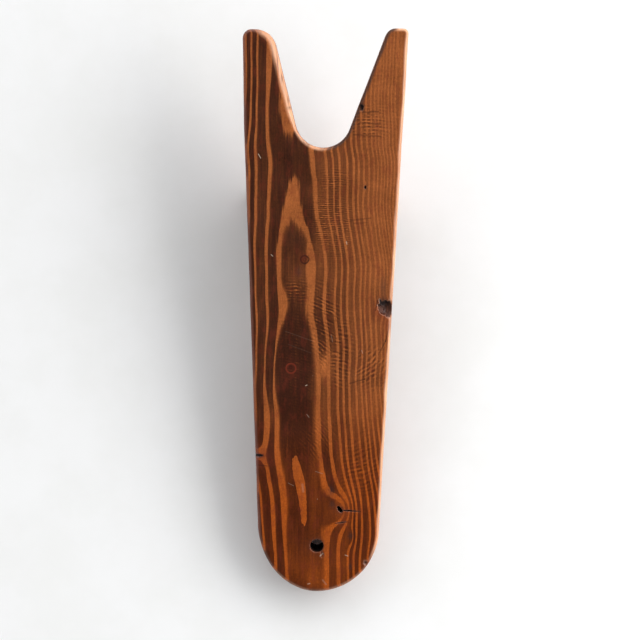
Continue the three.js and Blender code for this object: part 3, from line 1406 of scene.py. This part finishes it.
@dataclass(frozen=True)
class OffcutPine:
    """The cleat's pine: the same stain over the narrow rings of a sawn offcut."""

    name: str = "offcut_pine"
    light: tuple = tint(150, 88, 50)
    dark: tuple = tint(74, 39, 26)
    worn: tuple = tint(178, 132, 92)
    # colour of soiling and of the painted shade just under the board
    grime_and_shade: tuple = tint(34, 20, 15)
    ring_width: float = 3.4
    heart: tuple = (0.0, 245.0, -22.0)  # where the tree's heart ran past the offcut
    fibre: Layer = Layer((0.07, 1.9, 1.9), 3.0, 0.6)
    coarse: Layer = Layer((0.018, 0.3, 0.3))
    kerf: Layer = Layer((0.9, 0.2, 0.2), 1.0)
    relief_depth: float = 0.08  # millimetres

    def build(self) -> bpy.types.Material:
        """Builds the cleat's material.

        Returns:
            The material.
        """
        g = Graph(bpy.data.materials.new(self.name))
        wood = g.place("wood")
        fibre = self.fibre.draw(g, wood)
        coarse = self.coarse.draw(g, wood)
        cloud = g.noise(wood, 0.07, 3.0, 0.6)
        way = g.node("ShaderNodeVectorMath", {0: wood, 1: self.heart}, operation="SUBTRACT")
        square = g.stretch(way, (0.0, 1.0, 1.0))
        out = g.node("ShaderNodeVectorMath", {0: square}, 1, operation="LENGTH")
        number = g.blend(out, 1 / self.ring_width, g.blend(coarse, 1.6, g.times(fibre, 0.25)))
        own = g.chance(g.round_down(number))
        part = g.fraction(number)
        light = g.times(g.ease(0.45, 0.72, part), g.ease(1.0, 0.92, part))
        stain = g.clip(g.blend(light, -0.8, g.blend(own, 0.2, g.blend(fibre, 0.5, 0.55))))
        colour = g.mix(stain, self.light, self.dark)
        colour = g.mix(g.times(g.attribute("worn"), g.ease(0.35, 0.65, cloud)), colour, self.worn)
        # Darkens where the cleat's mesh stores painted shade under the board and near the sole.
        darkened = g.clip(g.times(g.attribute("grime_and_shade"), g.blend(cloud, 1.2, 0.3)))
        colour = g.mix(darkened, colour, self.grime_and_shade)
        shine = g.blend(cloud, 0.25, 0.42)
        relief = g.blend(light, 0.4, g.blend(fibre, 0.7, g.times(self.kerf.draw(g, wood), 0.4)))
        normal = g.bump(relief, self.relief_depth)
        return g.surface(Base_Color=colour, Roughness=shine, Normal=normal, Coat_Weight=0.06)


@dataclass(frozen=True)
class OldZinc:
    """Zinc plate gone dull, with rust in the slot."""

    name: str = "old_zinc"
    bright: tuple = tint(178, 174, 164)
    dull: tuple = tint(120, 114, 102)
    rust: tuple = tint(96, 52, 28)

    def build(self) -> bpy.types.Material:
        """Builds the screws' material.

        Returns:
            The material.
        """
        g = Graph(bpy.data.materials.new(self.name))
        place = g.place("wood")
        bloom = g.noise(place, 0.8, 4.0, 0.6)
        fine = g.noise(place, 5.0, 3.0, 0.6)
        turned = g.noise(g.stretch(place, (0.3, 0.3, 9.0)), 1.0, 2.0)
        rust = g.clip(g.times(g.attribute("rust"), g.ease(0.30, 0.62, bloom)))
        colour = g.mix(g.ease(0.35, 0.65, bloom), self.bright, self.dull)
        colour = g.mix(rust, colour, self.rust)
        shine = g.blend(fine, 0.25, g.blend(rust, 0.35, 0.24))
        metal = g.less(1.0, g.times(rust, 0.9))
        normal = g.bump(g.sum(g.times(turned, 0.4), fine), 0.03)
        return g.surface(Base_Color=colour, Metallic=metal, Roughness=shine, Normal=normal)


@dataclass(frozen=True)
class PaintedTable:
    """The pale matt surface that the jack lies on."""

    name: str = "painted_table"
    paint: tuple = tint(246, 246, 246)
    shade: tuple = tint(242, 242, 241)

    def build(self) -> bpy.types.Material:
        """Builds the table's material.

        Returns:
            The material.
        """
        g = Graph(bpy.data.materials.new(self.name))
        place = g.node("ShaderNodeTexCoord", {}, 3)
        cloud = g.noise(place, 14.0, 4.0, 0.6)
        grit = g.noise(place, 700.0, 2.0, 0.5)
        colour = g.mix(g.ease(0.35, 0.7, cloud), self.paint, self.shade)
        shine = g.blend(cloud, 0.2, 0.5)
        return g.surface(Base_Color=colour, Roughness=shine, Normal=g.bump(grit, 0.03))


# ---- Pieces -------------------------------------------------------------------------------


@dataclass(frozen=True)
class Swirl:
    """A place where a tool left arcs across the grain."""

    where: Patch
    centre: tuple
    pitch: float


@dataclass
class FootBoard:
    """The tapered board with its heel notch, hanging hole, worn arrises, knots and dents."""

    place: BoardFrame
    plan: BoardPlan = BoardPlan()
    grain: Grain = Grain()
    finish: StainedPine = StainedPine()
    skin: float = 6.0  # how deep the face's stain and dirt reach
    side_stain: float = 0.82
    # painted shade: the left arris, which faces away from the light, is reddened and darkened
    shaded_arris_red: float = 0.55  # reddening of the left arris
    step: float = 1.15
    top_grid: tuple = (1.1, 1.7)
    under_grid: tuple = (2.1, 3.2)
    levels: tuple = (0.12, 0.25, 0.38, 0.5, 0.61, 0.71, 0.8, 0.88, 0.95)
    zones: tuple = (
        FineZone(44, 204, 8.5, 0.42),
        FineZone(17, 58.5, 6.5, 0.32),
        FineZone(25.5, 59.2, 5.5, 0.36),
        FineZone(17, 50.8, 4.0, 0.4),
        FineZone(29.2, 285, 2.6, 0.3),
        FineZone(-42, 98, 6.0, 0.42),
        FineZone(3.0, 28.5, 3.6, 0.36),
        FineZone(-11.2, 235.5, 4.2, 0.5),
        FineZone(-19.8, 160.2, 5.0, 0.55),
    )
    scoops: tuple = (
        Scoop((46.6, 202.2, 20.4), (8.4, 5.5, 5.8), push=(-0.35, 0.0, -0.937), turn=-0.55, dirt_and_shade=0.72),
        Scoop((41.0, 207.0, 19.6), (1.1, 3.2, 1.3), turn=0.25, rough=0.30, dirt_and_shade=0.8),
        Scoop((15.4, 60.2, 19.4), (2.9, 1.35, 4.6), turn=-0.93, rough=0.22),
        Scoop((23.2, 59.4, 19.3), (7.2, 0.55, 1.7), turn=-0.06, rough=0.25),
        Scoop((16.6, 50.9, 19.2), (4.6, 0.5, 0.9), turn=0.14, rough=0.25, dirt_and_shade=0.8),
        Scoop((29.2, 285.0, 19.3), (0.75, 1.3, 1.7)),
        Scoop((-43.8, 98.4, 18.4), (5.6, 0.95, 3.2), push=(0.35, 0.0, -0.94), rough=0.3),
        Scoop((3.3, 27.8, 19.35), (1.5, 2.9, 0.9), turn=0.3, rough=0.4, dirt_and_shade=0.0),
        Scoop((34.4, 22.0, 18.3), (1.9, 1.3, 1.6), push=(-0.5, 0.35, -0.79), rough=0.35, dirt_and_shade=0.1),
        Scoop((26.0, 338.5, 18.3), (1.3, 2.1, 1.1), push=(0.7, 0.0, -0.71), rough=0.35, dirt_and_shade=0.9),
    )
    # Dark spots of dirt on the face. The spot round the hanging hole and the one at the tail's tip are
    # painted shade; the one in the upper wall of the pocket at the right edge is dirt and painted shade.
    grime_and_shade: tuple = (
        Patch(43, 207.5, 4, 3.0, 0.6), Patch(43, 217, 2.6, 7, 0.4), Patch(-22.4, 337.5, 1.0, 1.3, 0.9),
        Patch(9, 73.5, 2.4, 4, 0.5), Patch(10, 64, 1.8, 2.2, 0.55), Patch(23.5, 41.5, 2.0, 2.6, 0.55),
        Patch(23.2, 19, 0.9, 2.2, 0.8),
        Patch(-2, 1.2, 4, 1.4, 0.5), Patch(-15, 227, 2.0, 3.4, 0.4), Patch(-41, 98, 3.5, 1.3, 0.6),
        Patch(29.2, 285, 0.9, 1.3, 0.8), Patch(16, 60, 3.6, 3.6, 0.35), Patch(-17, 250, 6, 6, 0.12),
        Patch(-0.4, 33.8, 6, 6, 0.3),
    )
    resin: tuple = (
        Patch(-39, 98, 5, 6.5, 0.55), Patch(-12, 236, 3, 3, 0.35), Patch(19, 58, 5, 6, 0.25),
        Patch(43, 201, 7, 7, 0.6), Patch(-20, 160, 6, 7, 0.2), Patch(46, 190, 3, 5, 0.35),
    )
    swirl_gap: float = 9.0  # keeps the noise of one swirl clear of the next one's
    swirls: tuple = (
        Swirl(Patch(2, 191, 8, 20, 1.5), (-25, 136), 2.3),
        Swirl(Patch(5, 262, 13, 20, 0.75), (5, 120), 1.35),
        Swirl(Patch(30, 328, 12, 9, 0.5), (32, 230), 2.3),
        Swirl(Patch(36, 161, 11, 13, 0.5), (5, 200), 2.8),
        Swirl(Patch(-17, 165, 11, 30, 0.6), (-34, 90), 2.0),
        Swirl(Patch(-16, 213, 9, 8, 0.7), (-20, 120), 2.1),
        Swirl(Patch(14, 172, 7, 20, 0.8), (-8, 60), 2.6),
        Swirl(Patch(-4, 110, 14, 15, 0.4), (-60, 55), 2.2),
        Swirl(Patch(8, 288, 9, 9, 0.6), (8, 190), 1.6),
        Swirl(Patch(30, 90, 12, 18, 0.4), (10, 150), 3.0),
    )

    def build(self) -> bpy.types.Object:
        """Builds and dresses the board.

        Returns:
            The board.
        """
        points, faces = self._net()
        moved = self._wear(points)
        piece = finish_mesh("pine_foot_board", self.place.place(points), faces)
        self._store(piece.data, points, moved)
        piece.data.materials.append(self.finish.build())
        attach(piece, "root")
        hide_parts("foot_board")
        return piece

    def _net(self) -> tuple:
        """Nets the board before wear.

        Returns:
            Its points in board millimetres, and its faces.
        """
        plan = self.plan
        loop = plan.outline(self.step)
        flat = np.column_stack([loop, np.zeros(len(loop))])
        sway = 0.16 * ripple(flat, 38, 3) + 0.07 * ripple(flat, 11, 5)
        loop = loop + BoardPlan.inward(loop) * (0.1 + sway)[:, None]
        thick = self.place.thickness
        rows = side_rows(loop, 0.0, thick, plan.under_arris, plan.top_arris(loop), self.levels)
        eased = plan.hole_ease
        radius = plan.hole_radius
        turned = 0.3 * eased
        profile = [(radius + eased, 0.0), (radius + turned, turned)]
        profile += [(radius, height) for height in np.linspace(eased, thick - eased, 8)]
        profile += [(radius + turned, thick - turned), (radius + eased, thick)]
        slab = Slab(rows, (Bore(*plan.hole, tuple(profile)), *self._pilots()))
        slab.face(True, self.top_grid, self.zones)
        slab.face(False, self.under_grid)
        return slab.vertices(), slab.faces

    def _pilots(self) -> list:
        """Draws the blind bores that the screws bite into.

        Returns:
            One Bore for each screw.
        """
        bores = []
        for size in SCREWS:
            across = size.side_sign * size.offset
            tip = size.head_height(self.place) + size.length + size.gap
            radius = size.shank / 2 + size.gap
            profile = ((radius, 0.0), (radius, tip - size.point), (0.5, tip))
            bores.append(Bore(across, size.along, profile, blind=True))
        return bores

    def _wear(self, points: np.ndarray) -> np.ndarray:
        """Waves the faces a little and cuts the scoops.

        Args:
            points: the board's points, moved in place.

        Returns:
            How dark each scooped point is made, from 0 to 1: soiling and painted shade, darker the deeper
            it lies.
        """
        across, along, up = points.T
        face = ease(14.0, 18.5, up)
        points[:, 2] -= face * (0.06 + 0.06 * ripple(points, 30, 8) + 0.03 * ripple(points, 9, 2))
        dirt_and_shade = np.zeros(len(points))
        for scoop in self.scoops:
            moved = scoop.carve(points)
            # Painted shade, with soiling, that darkens each hollow more the deeper a point is pushed in.
            dirt_and_shade = np.maximum(dirt_and_shade, scoop.dirt_and_shade * ease(0.05, 0.7, moved))
        return dirt_and_shade

    def _store(self, mesh: bpy.types.Mesh, points: np.ndarray, dirt_and_shade: np.ndarray) -> None:
        """Stores what the finish reads at each vertex.

        Args:
            mesh: the board's mesh.
            points: its points in board millimetres.
            dirt_and_shade: how dark each point is made from its scoop, as soiling and painted shade.
        """
        grain = self.grain
        across, along, up = points.T
        depth = np.clip(self.place.thickness - up, 0.0, None)
        near = np.exp(-((depth / self.skin) ** 2))
        hole = np.hypot(across - self.plan.hole[0], along - self.plan.hole[1])
        radius = self.plan.hole_radius
        # Painted shade: the hanging hole's wall is darkened from just below the face down, so that the
        # hole looks black.
        painted_bore_shade = ease(radius + 0.6, radius + 0.1, hole) * ease(0.2, 1.6, depth)
        write_attribute(mesh, "wood", points)
        write_attribute(mesh, "ring", grain.ring(across, along, depth))
        write_attribute(mesh, "share", grain.share(across, along))
        write_attribute(mesh, "stain", grain.stain(across, along) * near + self.side_stain * (1 - near))
        write_attribute(mesh, "feather", grain.feather(across, along) * near)
        write_attribute(mesh, "amber", ease(165, 60, along))
        arris = self._arris(mesh, points)
        darkened = self._shaded_notch_side(across, along)
        # Painted shade: reddens and darkens the left arris, which faces away from the light.
        shaded_arris_red = self.shaded_arris_red * arris * ease(-37.0, -42.0, across)
        resin = spots(self.resin, across, along) * near
        # The resin attribute also carries the painted shade of the left arris.
        write_attribute(mesh, "resin", resin + shaded_arris_red)
        # Painted shade on the arris and wall along the right side of the heel notch, which face away from
        # the light.
        painted_side_shade = darkened * (0.75 * arris + 0.6 * ease(16.5, 14.0, up))
        write_attribute(mesh, "grime_and_shade", spots(self.grime_and_shade, across, along) * near + dirt_and_shade + painted_bore_shade + painted_side_shade)
        patchy = np.clip(0.85 + 0.35 * ripple(points, 16, 4), 0.0, 1.0)
        clean = (1 - darkened) * np.clip(1 - 2.0 * dirt_and_shade, 0.0, 1.0) * np.clip(1 - 1.8 * resin, 0.0, 1.0)
        # The worn attribute holds wear and painted highlight: the arrises that face the light are made
        # pale.
        write_attribute(mesh, "worn", arris * patchy * self._worn(across, along) * clean)
        sweep, sawn = self._sweeps(across, along)
        write_attribute(mesh, "sweep", sweep)
        write_attribute(mesh, "sawn", sawn * near)

    def _arris(self, mesh: bpy.types.Mesh, points: np.ndarray) -> np.ndarray:
        """Finds the rounded upper arrises.

        Args:
            mesh: the board's mesh.
            points: its points in board millimetres.

        Returns:
            0 to 1 at each point.
        """
        normals = np.empty(len(points) * 3)
        mesh.vertex_normals.foreach_get("vector", normals)
        tilt = normals.reshape(-1, 3) @ self.place.up
        return ease(0.0, 0.35, tilt) * ease(0.995, 0.90, tilt) * ease(13.0, 15.5, points[:, 2])

    @staticmethod
    def _worn(across: np.ndarray, along: np.ndarray) -> np.ndarray:
        """Works out where the arrises are made pale: wear from hands and heels, and painted highlight on
        the right edge and the left prong's inner edge, which face the light.

        Args:
            across: places across the board.
            along: places along the board.

        Returns:
            0 to 1 near each place.
        """
        right = ease(38.0, 41.0, across + 0.03 * (390 - along)) * ease(16.0, 40.0, along)
        notch = ease(262.0, 272.0, along) * ease(-48.0, -40.0, across) * ease(6.0, -4.0, across)
        tail = 0.35 * ease(30.0, 8.0, along)
        return np.maximum.reduce([right, 0.9 * notch, tail, np.full(len(across), 0.08)])

    @staticmethod
    def _shaded_notch_side(across: np.ndarray, along: np.ndarray) -> np.ndarray:
        """Returns 1 along the right side of the heel notch, whose arris and wall face away from the light
        and get painted shade.
        """
        reach = across - 0.42 * (along - 330)
        return ease(2.0, 10.0, across) * ease(25.0, 21.0, reach) * ease(266.0, 274.0, along)

    def _sweeps(self, across: np.ndarray, along: np.ndarray) -> tuple:
        """Lays the tool's arcs over the face.

        Args:
            across: places across the board.
            along: places along it.

        Returns:
            Each point's place along and across the arcs of its nearest swirl, and their strength.
        """
        weights = np.array([swirl.where.at(across, along) for swirl in self.swirls])
        best = weights.argmax(axis=0)
        ordered = np.sort(weights, axis=0)
        sweep = np.zeros((len(across), 3))
        for number, swirl in enumerate(self.swirls):
            mine = best == number
            right, forward = across[mine] - swirl.centre[0], along[mine] - swirl.centre[1]
            middle = (swirl.where.across, swirl.where.along)
            arc = np.arctan2(forward, right) * math.dist(swirl.centre, middle)
            row = np.hypot(right, forward) / swirl.pitch
            sweep[mine] = np.column_stack([arc, row, np.full(mine.sum(), self.swirl_gap * number)])
        return sweep, np.clip(1.6 * (ordered[-1] - 0.6 * ordered[-2]), 0.0, 1.0)


@dataclass(frozen=True)
class ScrewSize:
    """Sizes of one countersunk wood screw, driven up through the cleat."""

    side: Side
    offset: float = 32.0  # from the board's middle
    along: float = 272.0
    recess: float = 4.0  # head below the sole
    length: float = 45.0
    head: float = 9.4  # across
    rim: float = 0.4
    cone: float = math.radians(82)
    shank: float = 4.8
    shank_length: float = 15.0
    root: float = 3.4
    pitch: float = 2.0
    point: float = 5.0
    slot_width: float = 1.3
    slot_depth: float = 1.4
    slot_turn: float = 0.5
    gap: float = 0.3

    @property
    def side_sign(self) -> int:
        """Returns 1 on the right and -1 on the left."""
        return 1 if self.side is Side.RIGHT else -1

    @property
    def cone_height(self) -> float:
        """Returns the height of the head's cone."""
        return (self.head - self.shank) / 2 / math.tan(self.cone / 2)

    def head_height(self, place: BoardFrame) -> float:
        """Returns the height of the head's flat face in the board's frame."""
        return place.floor_height(self.along) + self.recess


SCREWS = (ScrewSize(Side.LEFT), ScrewSize(Side.RIGHT))


@dataclass
class Cleat:
    """The block under the board that lifts the notch, with its two counterbored screw holes."""

    place: BoardFrame
    finish: OffcutPine = OffcutPine()
    along: float = 272.0
    length: float = 102.0
    thickness: float = 19.0
    corner: float = 1.6
    under_arris: float = 1.1
    top_arris: float = 0.5
    gap: float = 0.3
    clear: float = 0.2
    step: float = 0.6
    grid: tuple = (1.5, 1.2)
    levels: tuple = tuple(np.linspace(0.05, 0.95, 14))

    def build(self) -> bpy.types.Object:
        """Builds and dresses the cleat.

        Returns:
            The cleat.
        """
        loop = self._outline()
        sole = self._sole(loop[:, 1])
        rows = side_rows(loop, sole, -self.gap, self.under_arris, self.top_arris, self.levels)
        slab = Slab(rows, tuple(self._bore(size) for size in SCREWS))
        slab.face(True, self.grid)
        slab.face(False, self.grid, height=self._sole)
        points = self._settle(slab.vertices(), rows)
        piece = finish_mesh("pine_cleat", self.place.place(points), slab.faces)
        self._store(piece.data, points)
        piece.data.materials.append(self.finish.build())
        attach(piece, "root")
        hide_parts("cleat")
        return piece

    def _sole(self, along: float) -> float:
        """Returns the sole's height in the board's frame at a distance from the tail."""
        return self.place.floor_height(along) + self.clear

    def _outline(self) -> np.ndarray:
        """Draws the block seen from above.

        Returns:
            Rows of across, along, anticlockwise.
        """
        half_length, half_thick = self.length / 2, self.thickness / 2
        path = []
        for number, (x, y) in enumerate(((1, -1), (1, 1), (-1, 1), (-1, -1))):
            centre = np.array([x * (half_length - self.corner), y * (half_thick - self.corner)])
            for turn in np.linspace(-0.5, 0.0, 6) + 0.5 * number:
                angle = turn * math.pi
                path.append(centre + self.corner * np.array([math.cos(angle), math.sin(angle)]))
        return even_loop(path, self.step) + (0.0, self.along)

    def _bore(self, size: ScrewSize) -> Bore:
        """Draws one screw hole with its counterbore and countersink.

        Args:
            size: the screw.

        Returns:
            The hole, from the sole up.
        """
        sole = self._sole(size.along)
        head = size.head / 2 + size.gap
        shank = size.shank / 2 + size.gap
        rim = size.head_height(self.place) + size.rim + size.gap
        heights = np.linspace(sole + 0.5, rim, 5)
        profile = [(head + 0.4, sole), (head + 0.1, sole + 0.25)] + [(head, h) for h in heights]
        profile += [(shank, rim + size.cone_height), (shank, -2.0), (shank, -self.gap)]
        return Bore(size.side_sign * size.offset, size.along, tuple(profile))

    def _settle(self, points: np.ndarray, rows: list) -> np.ndarray:
        """Roughens the sawn sides and lays the holes' lower mouths on the sloping sole.

        Args:
            points: the netted points.
            rows: the rings of the side, which come first among them.

        Returns:
            The moved points.
        """
        points = points.copy()
        across, along, up = points.T
        middle = self._sole(self.along)
        mouth = (np.arange(len(points)) >= len(rows) * len(rows[0])) & (up < middle + 0.6)
        mouth &= np.abs(along - self.along) < self.thickness / 2
        slope = self._sole(along) - middle
        on_sole = np.abs(up - self._sole(along)) < 1e-6
        points[mouth & ~on_sole, 2] += slope[mouth & ~on_sole]
        side = ease(self.thickness / 2 - 0.6, self.thickness / 2 - 0.1, np.abs(along - self.along))
        points[:, 1] -= np.sign(along - self.along) * side * (0.08 + 0.07 * ripple(points, 14, 6))
        return points

    def _store(self, mesh: bpy.types.Mesh, points: np.ndarray) -> None:
        """Stores what the finish reads at each vertex.

        Args:
            mesh: the cleat's mesh.
            points: its points in board millimetres.
        """
        across, along, up = points.T
        lift = up - self._sole(along)
        end = self.length / 2 - np.abs(across)
        edge = np.minimum(end, self.thickness / 2 - np.abs(along - self.along))
        write_attribute(mesh, "wood", points)
        scuffed = ease(1.6, 0.3, lift) * 0.7 + ease(5.0, 0.0, lift) * ease(0.9, 0.1, edge) * 0.6
        write_attribute(mesh, "worn", scuffed)
        # Painted shade under the board: the top 6 mm of the cleat, where it meets the board's underside,
        # is darkened; it is also a little darker just above the sole.
        write_attribute(mesh, "grime_and_shade", ease(-6.0, -0.5, up) * 0.55 + ease(3.0, 0.2, lift) * 0.2)


@dataclass
class WoodScrew:
    """One slotted countersunk screw with a true spiral thread."""

    place: BoardFrame
    size: ScrewSize
    finish: bpy.types.Material
    sides: int = 40
    row: float = 0.16
    sharp: float = math.radians(38)

    def build(self) -> bpy.types.Object:
        """Builds and dresses the screw.

        Returns:
            The screw.
        """
        size = self.size
        heights = self._heights()
        angles = np.linspace(0, FULL_TURN, self.sides, endpoint=False)
        points = [(0.0, 0.0, 0.0)]
        for height in heights:
            radii = self._radius(height, angles)
            points += list(zip(radii * np.cos(angles), radii * np.sin(angles), [height] * self.sides))
        points.append((0.0, 0.0, size.length))
        faces = self._faces(len(heights))
        piece = finish_mesh(f"wood_screw_{size.side.value}", np.array(points), faces)
        self._cut_slot(piece)
        self._set(piece)
        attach(piece, "root")
        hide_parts(SCREW_NODES[size.side])
        return piece

    def _heights(self) -> np.ndarray:
        """Chooses where the rings of points lie.

        Returns:
            Their heights, from the head up to the point.
        """
        size = self.size
        head = np.array([0.0, 0.08, 0.2, size.rim])
        cone = size.rim + size.cone_height * np.linspace(0.2, 1, 5)
        plain = np.linspace(size.rim + size.cone_height + 0.6, size.shank_length, 8)
        thread = np.arange(size.shank_length + self.row, size.length - 0.1, self.row)
        return np.concatenate([head, cone, plain, thread])

    def _radius(self, height: float, angles: np.ndarray) -> np.ndarray:
        """Works out how far the surface stands from the axis.

        Args:
            height: above the head's flat face.
            angles: around the axis.

        Returns:
            One radius for each angle.
        """
        size = self.size
        head, shank, root = size.head / 2, size.shank / 2, size.root / 2
        if height <= size.rim:
            return np.full(len(angles), head - 0.12 * max(0.0, 1 - height / 0.2) ** 2)
        if height <= size.rim + size.cone_height:
            return np.full(len(angles), head - (height - size.rim) * math.tan(size.cone / 2))
        if height <= size.shank_length:
            return np.full(len(angles), shank)
        turn = (height / size.pitch - angles / FULL_TURN) % 1.0
        ridge = np.clip(1 - np.abs(turn - 0.5) * 3.4, 0.0, 1.0)
        start = ease(0.0, 2.0, np.array(height - size.shank_length))
        core = shank + (root - shank) * start
        tip = np.clip((size.length - height) / size.point, 0.0, 1.0)
        return (core + (shank - core) * ridge) * tip**0.8 + 0.02

    def _faces(self, rings: int) -> list:
        """Joins the rings of points.

        Args:
            rings: how many rings there are between the first and the last point.

        Returns:
            The faces.
        """
        n = self.sides
        last = 1 + rings * n
        faces = [(0, 1 + (i + 1) % n, 1 + i) for i in range(n)]
        for ring in range(rings - 1):
            low, high = 1 + ring * n, 1 + (ring + 1) * n
            faces += [(low + i, low + (i + 1) % n, high + (i + 1) % n, high + i) for i in range(n)]
        top = last - n
        faces += [(top + i, top + (i + 1) % n, last) for i in range(n)]
        return faces

    def _cut_slot(self, piece: bpy.types.Object) -> None:
        """Cuts the driver's slot across the head.

        Args:
            piece: the screw, whose mesh is changed.
        """
        size = self.size
        tool = bpy.data.meshes.new("slot_tool")
        build = bmesh.new()
        bmesh.ops.create_cube(build, size=1.0)
        slot = (2 * size.head, size.slot_width, 2 * size.slot_depth)
        bmesh.ops.scale(build, verts=build.verts, vec=slot)
        build.to_mesh(tool)
        build.free()
        cutter = bpy.data.objects.new("slot_tool", tool)
        bpy.context.scene.collection.objects.link(cutter)
        cut = piece.modifiers.new("slot", "BOOLEAN")
        cut.operation = "DIFFERENCE"
        cut.object = cutter
        cut.solver = "EXACT"
        bpy.context.view_layer.update()
        depsgraph = bpy.context.evaluated_depsgraph_get()
        made = bpy.data.meshes.new_from_object(piece.evaluated_get(depsgraph))
        piece.modifiers.clear()
        piece.data = made
        bpy.data.objects.remove(cutter)
        bpy.data.meshes.remove(tool)

    def _set(self, piece: bpy.types.Object) -> None:
        """Stores what the finish reads and drives the screw into place.

        Args:
            piece: the screw, still in its own millimetres.
        """
        size = self.size
        local = np.empty(len(piece.data.vertices) * 3)
        piece.data.vertices.foreach_get("co", local)
        local = local.reshape(-1, 3)
        x, y, z = local.T
        slot = ease(0.05, 0.5, z) * ease(size.slot_depth + 0.2, size.slot_depth - 0.2, z)
        inside = np.hypot(x, y) < size.head / 2 - 0.2
        write_attribute(piece.data, "wood", local + (0.0, 0.0, 3.0 * size.side_sign))
        write_attribute(piece.data, "rust", 0.35 + 0.6 * slot * inside)
        turn = size.side_sign * size.slot_turn
        c, s = math.cos(turn), math.sin(turn)
        spun = local @ np.array([[c, s, 0.0], [-s, c, 0.0], [0.0, 0.0, 1.0]])
        spun += (size.side_sign * size.offset, size.along, size.head_height(self.place))
        piece.data.vertices.foreach_set("co", self.place.place(spun).ravel())
        piece.data.shade_smooth()
        piece.data.set_sharp_from_angle(angle=self.sharp)
        piece.data.materials.clear()
        piece.data.materials.append(self.finish)
        piece.data.update()


@dataclass(frozen=True)
class Fade:
    """How the room's light changes from one side of the room to the other."""

    way: tuple  # towards the far side
    start: float
    end: float
    first: float
    last: float


UPWARD = (0.0, 0.0, 1.0)


@dataclass
class Studio:
    """The table, the light from one large window, and the camera straight above."""

    table_size: float = 3.0
    camera_height: float = 0.9496
    camera_place: tuple = (-0.0013, -0.0026)
    camera_roll: float = math.radians(0.74)
    lens: float = 74.2
    sensor: float = 36.0
    window_bearing: float = math.radians(18)
    window_rise: float = math.radians(27)
    window_distance: float = 1.3
    window_size: tuple = (1.7, 0.9)
    window_power: float = 14.5
    window_colour: tuple = (1.0, 0.985, 0.96)
    sky: tuple = (0.98, 0.99, 1.0, 1.0)
    fades: tuple = (
        Fade(UPWARD, 0.3, 0.85, 3.1, 0.13),  # from the walls to the ceiling
        Fade(UPWARD, 0.04, 0.34, 0.1, 1.0),  # from the skirting to the walls
        Fade((0.45, 0.89, 0.0), -0.8, 0.8, 0.35, 1.3),  # from the dim corner to the bright one
    )

    def build(self) -> None:
        """Builds the whole set."""
        self._table()
        self._window()
        self._sky()
        self._camera()

    def _table(self) -> None:
        """Lays the table under the jack."""
        half = self.table_size / 2
        corners = [(-half, -half, 0), (half, -half, 0), (half, half, 0), (-half, half, 0)]
        table = finish_mesh("table", corners, [(0, 1, 2, 3)], smooth=False)
        table.data.materials.append(PaintedTable().build())

    def _window(self) -> None:
        """Hangs the large soft light."""
        data = bpy.data.lights.new("window", "AREA")
        data.shape = "RECTANGLE"
        data.size, data.size_y = self.window_size
        data.energy = self.window_power
        data.color = self.window_colour
        lamp = bpy.data.objects.new("window", data)
        bpy.context.scene.collection.objects.link(lamp)
        flat = math.cos(self.window_rise)
        way = Vector((flat * math.cos(self.window_bearing), flat * math.sin(self.window_bearing),
                      math.sin(self.window_rise)))
        lamp.location = way * self.window_distance
        lamp.rotation_euler = way.to_track_quat("Z", "Y").to_euler()

    def _sky(self) -> None:
        """Fills the room with pale light: bright walls, a dark skirting and a dim ceiling."""
        world = bpy.data.worlds.new("room")
        g = Graph(world)
        way = g.node("ShaderNodeTexCoord", {}, 0)
        walls, *others = [self._fade(g, way, fade) for fade in self.fades]
        for other in others:
            walls = g.times(walls, other)
        background = g.tree.nodes["Background"]
        background.inputs["Color"].default_value = self.sky
        g.feed(background.inputs["Strength"], walls)
        bpy.context.scene.world = world

    @staticmethod
    def _fade(g: Graph, way: Value, fade: Fade) -> Socket:
        """Works out one fade of the room's light.

        Args:
            g: the room's graph.
            way: which way each part of the room lies.
            fade: the fade.

        Returns:
            Its strength that way.
        """
        lean = g.node("ShaderNodeVectorMath", {0: way, 1: fade.way}, 1, operation="DOT_PRODUCT")
        inputs = {"Value": lean, "From Min": fade.start, "From Max": fade.end}
        inputs.update({"To Min": fade.first, "To Max": fade.last})
        return g.node("ShaderNodeMapRange", inputs, interpolation_type="SMOOTHSTEP")

    def _camera(self) -> None:
        """Sets the camera straight above, looking down."""
        data = bpy.data.cameras.new("camera")
        data.lens = self.lens
        data.sensor_width = self.sensor
        camera = bpy.data.objects.new("camera", data)
        camera.location = (*self.camera_place, self.camera_height)
        camera.rotation_euler = (0.0, 0.0, self.camera_roll)
        bpy.context.scene.collection.objects.link(camera)
        bpy.context.scene.camera = camera
        bpy.context.scene.view_settings.view_transform = "Standard"


def main() -> None:
    """Builds the jack and its set in order."""
    logging.basicConfig(level=logging.INFO, format="%(name)s: %(message)s")
    place = BoardFrame()
    zinc = OldZinc().build()
    pieces = [FootBoard(place).build(), Cleat(place).build()]
    pieces += [WoodScrew(place, size, zinc).build() for size in SCREWS]
    for piece in pieces:
        mesh = piece.data
        LOG.info("%s: %d vertices, %d faces", piece.name, len(mesh.vertices), len(mesh.polygons))
    Studio().build()


if __name__ == "__main__":
    main()
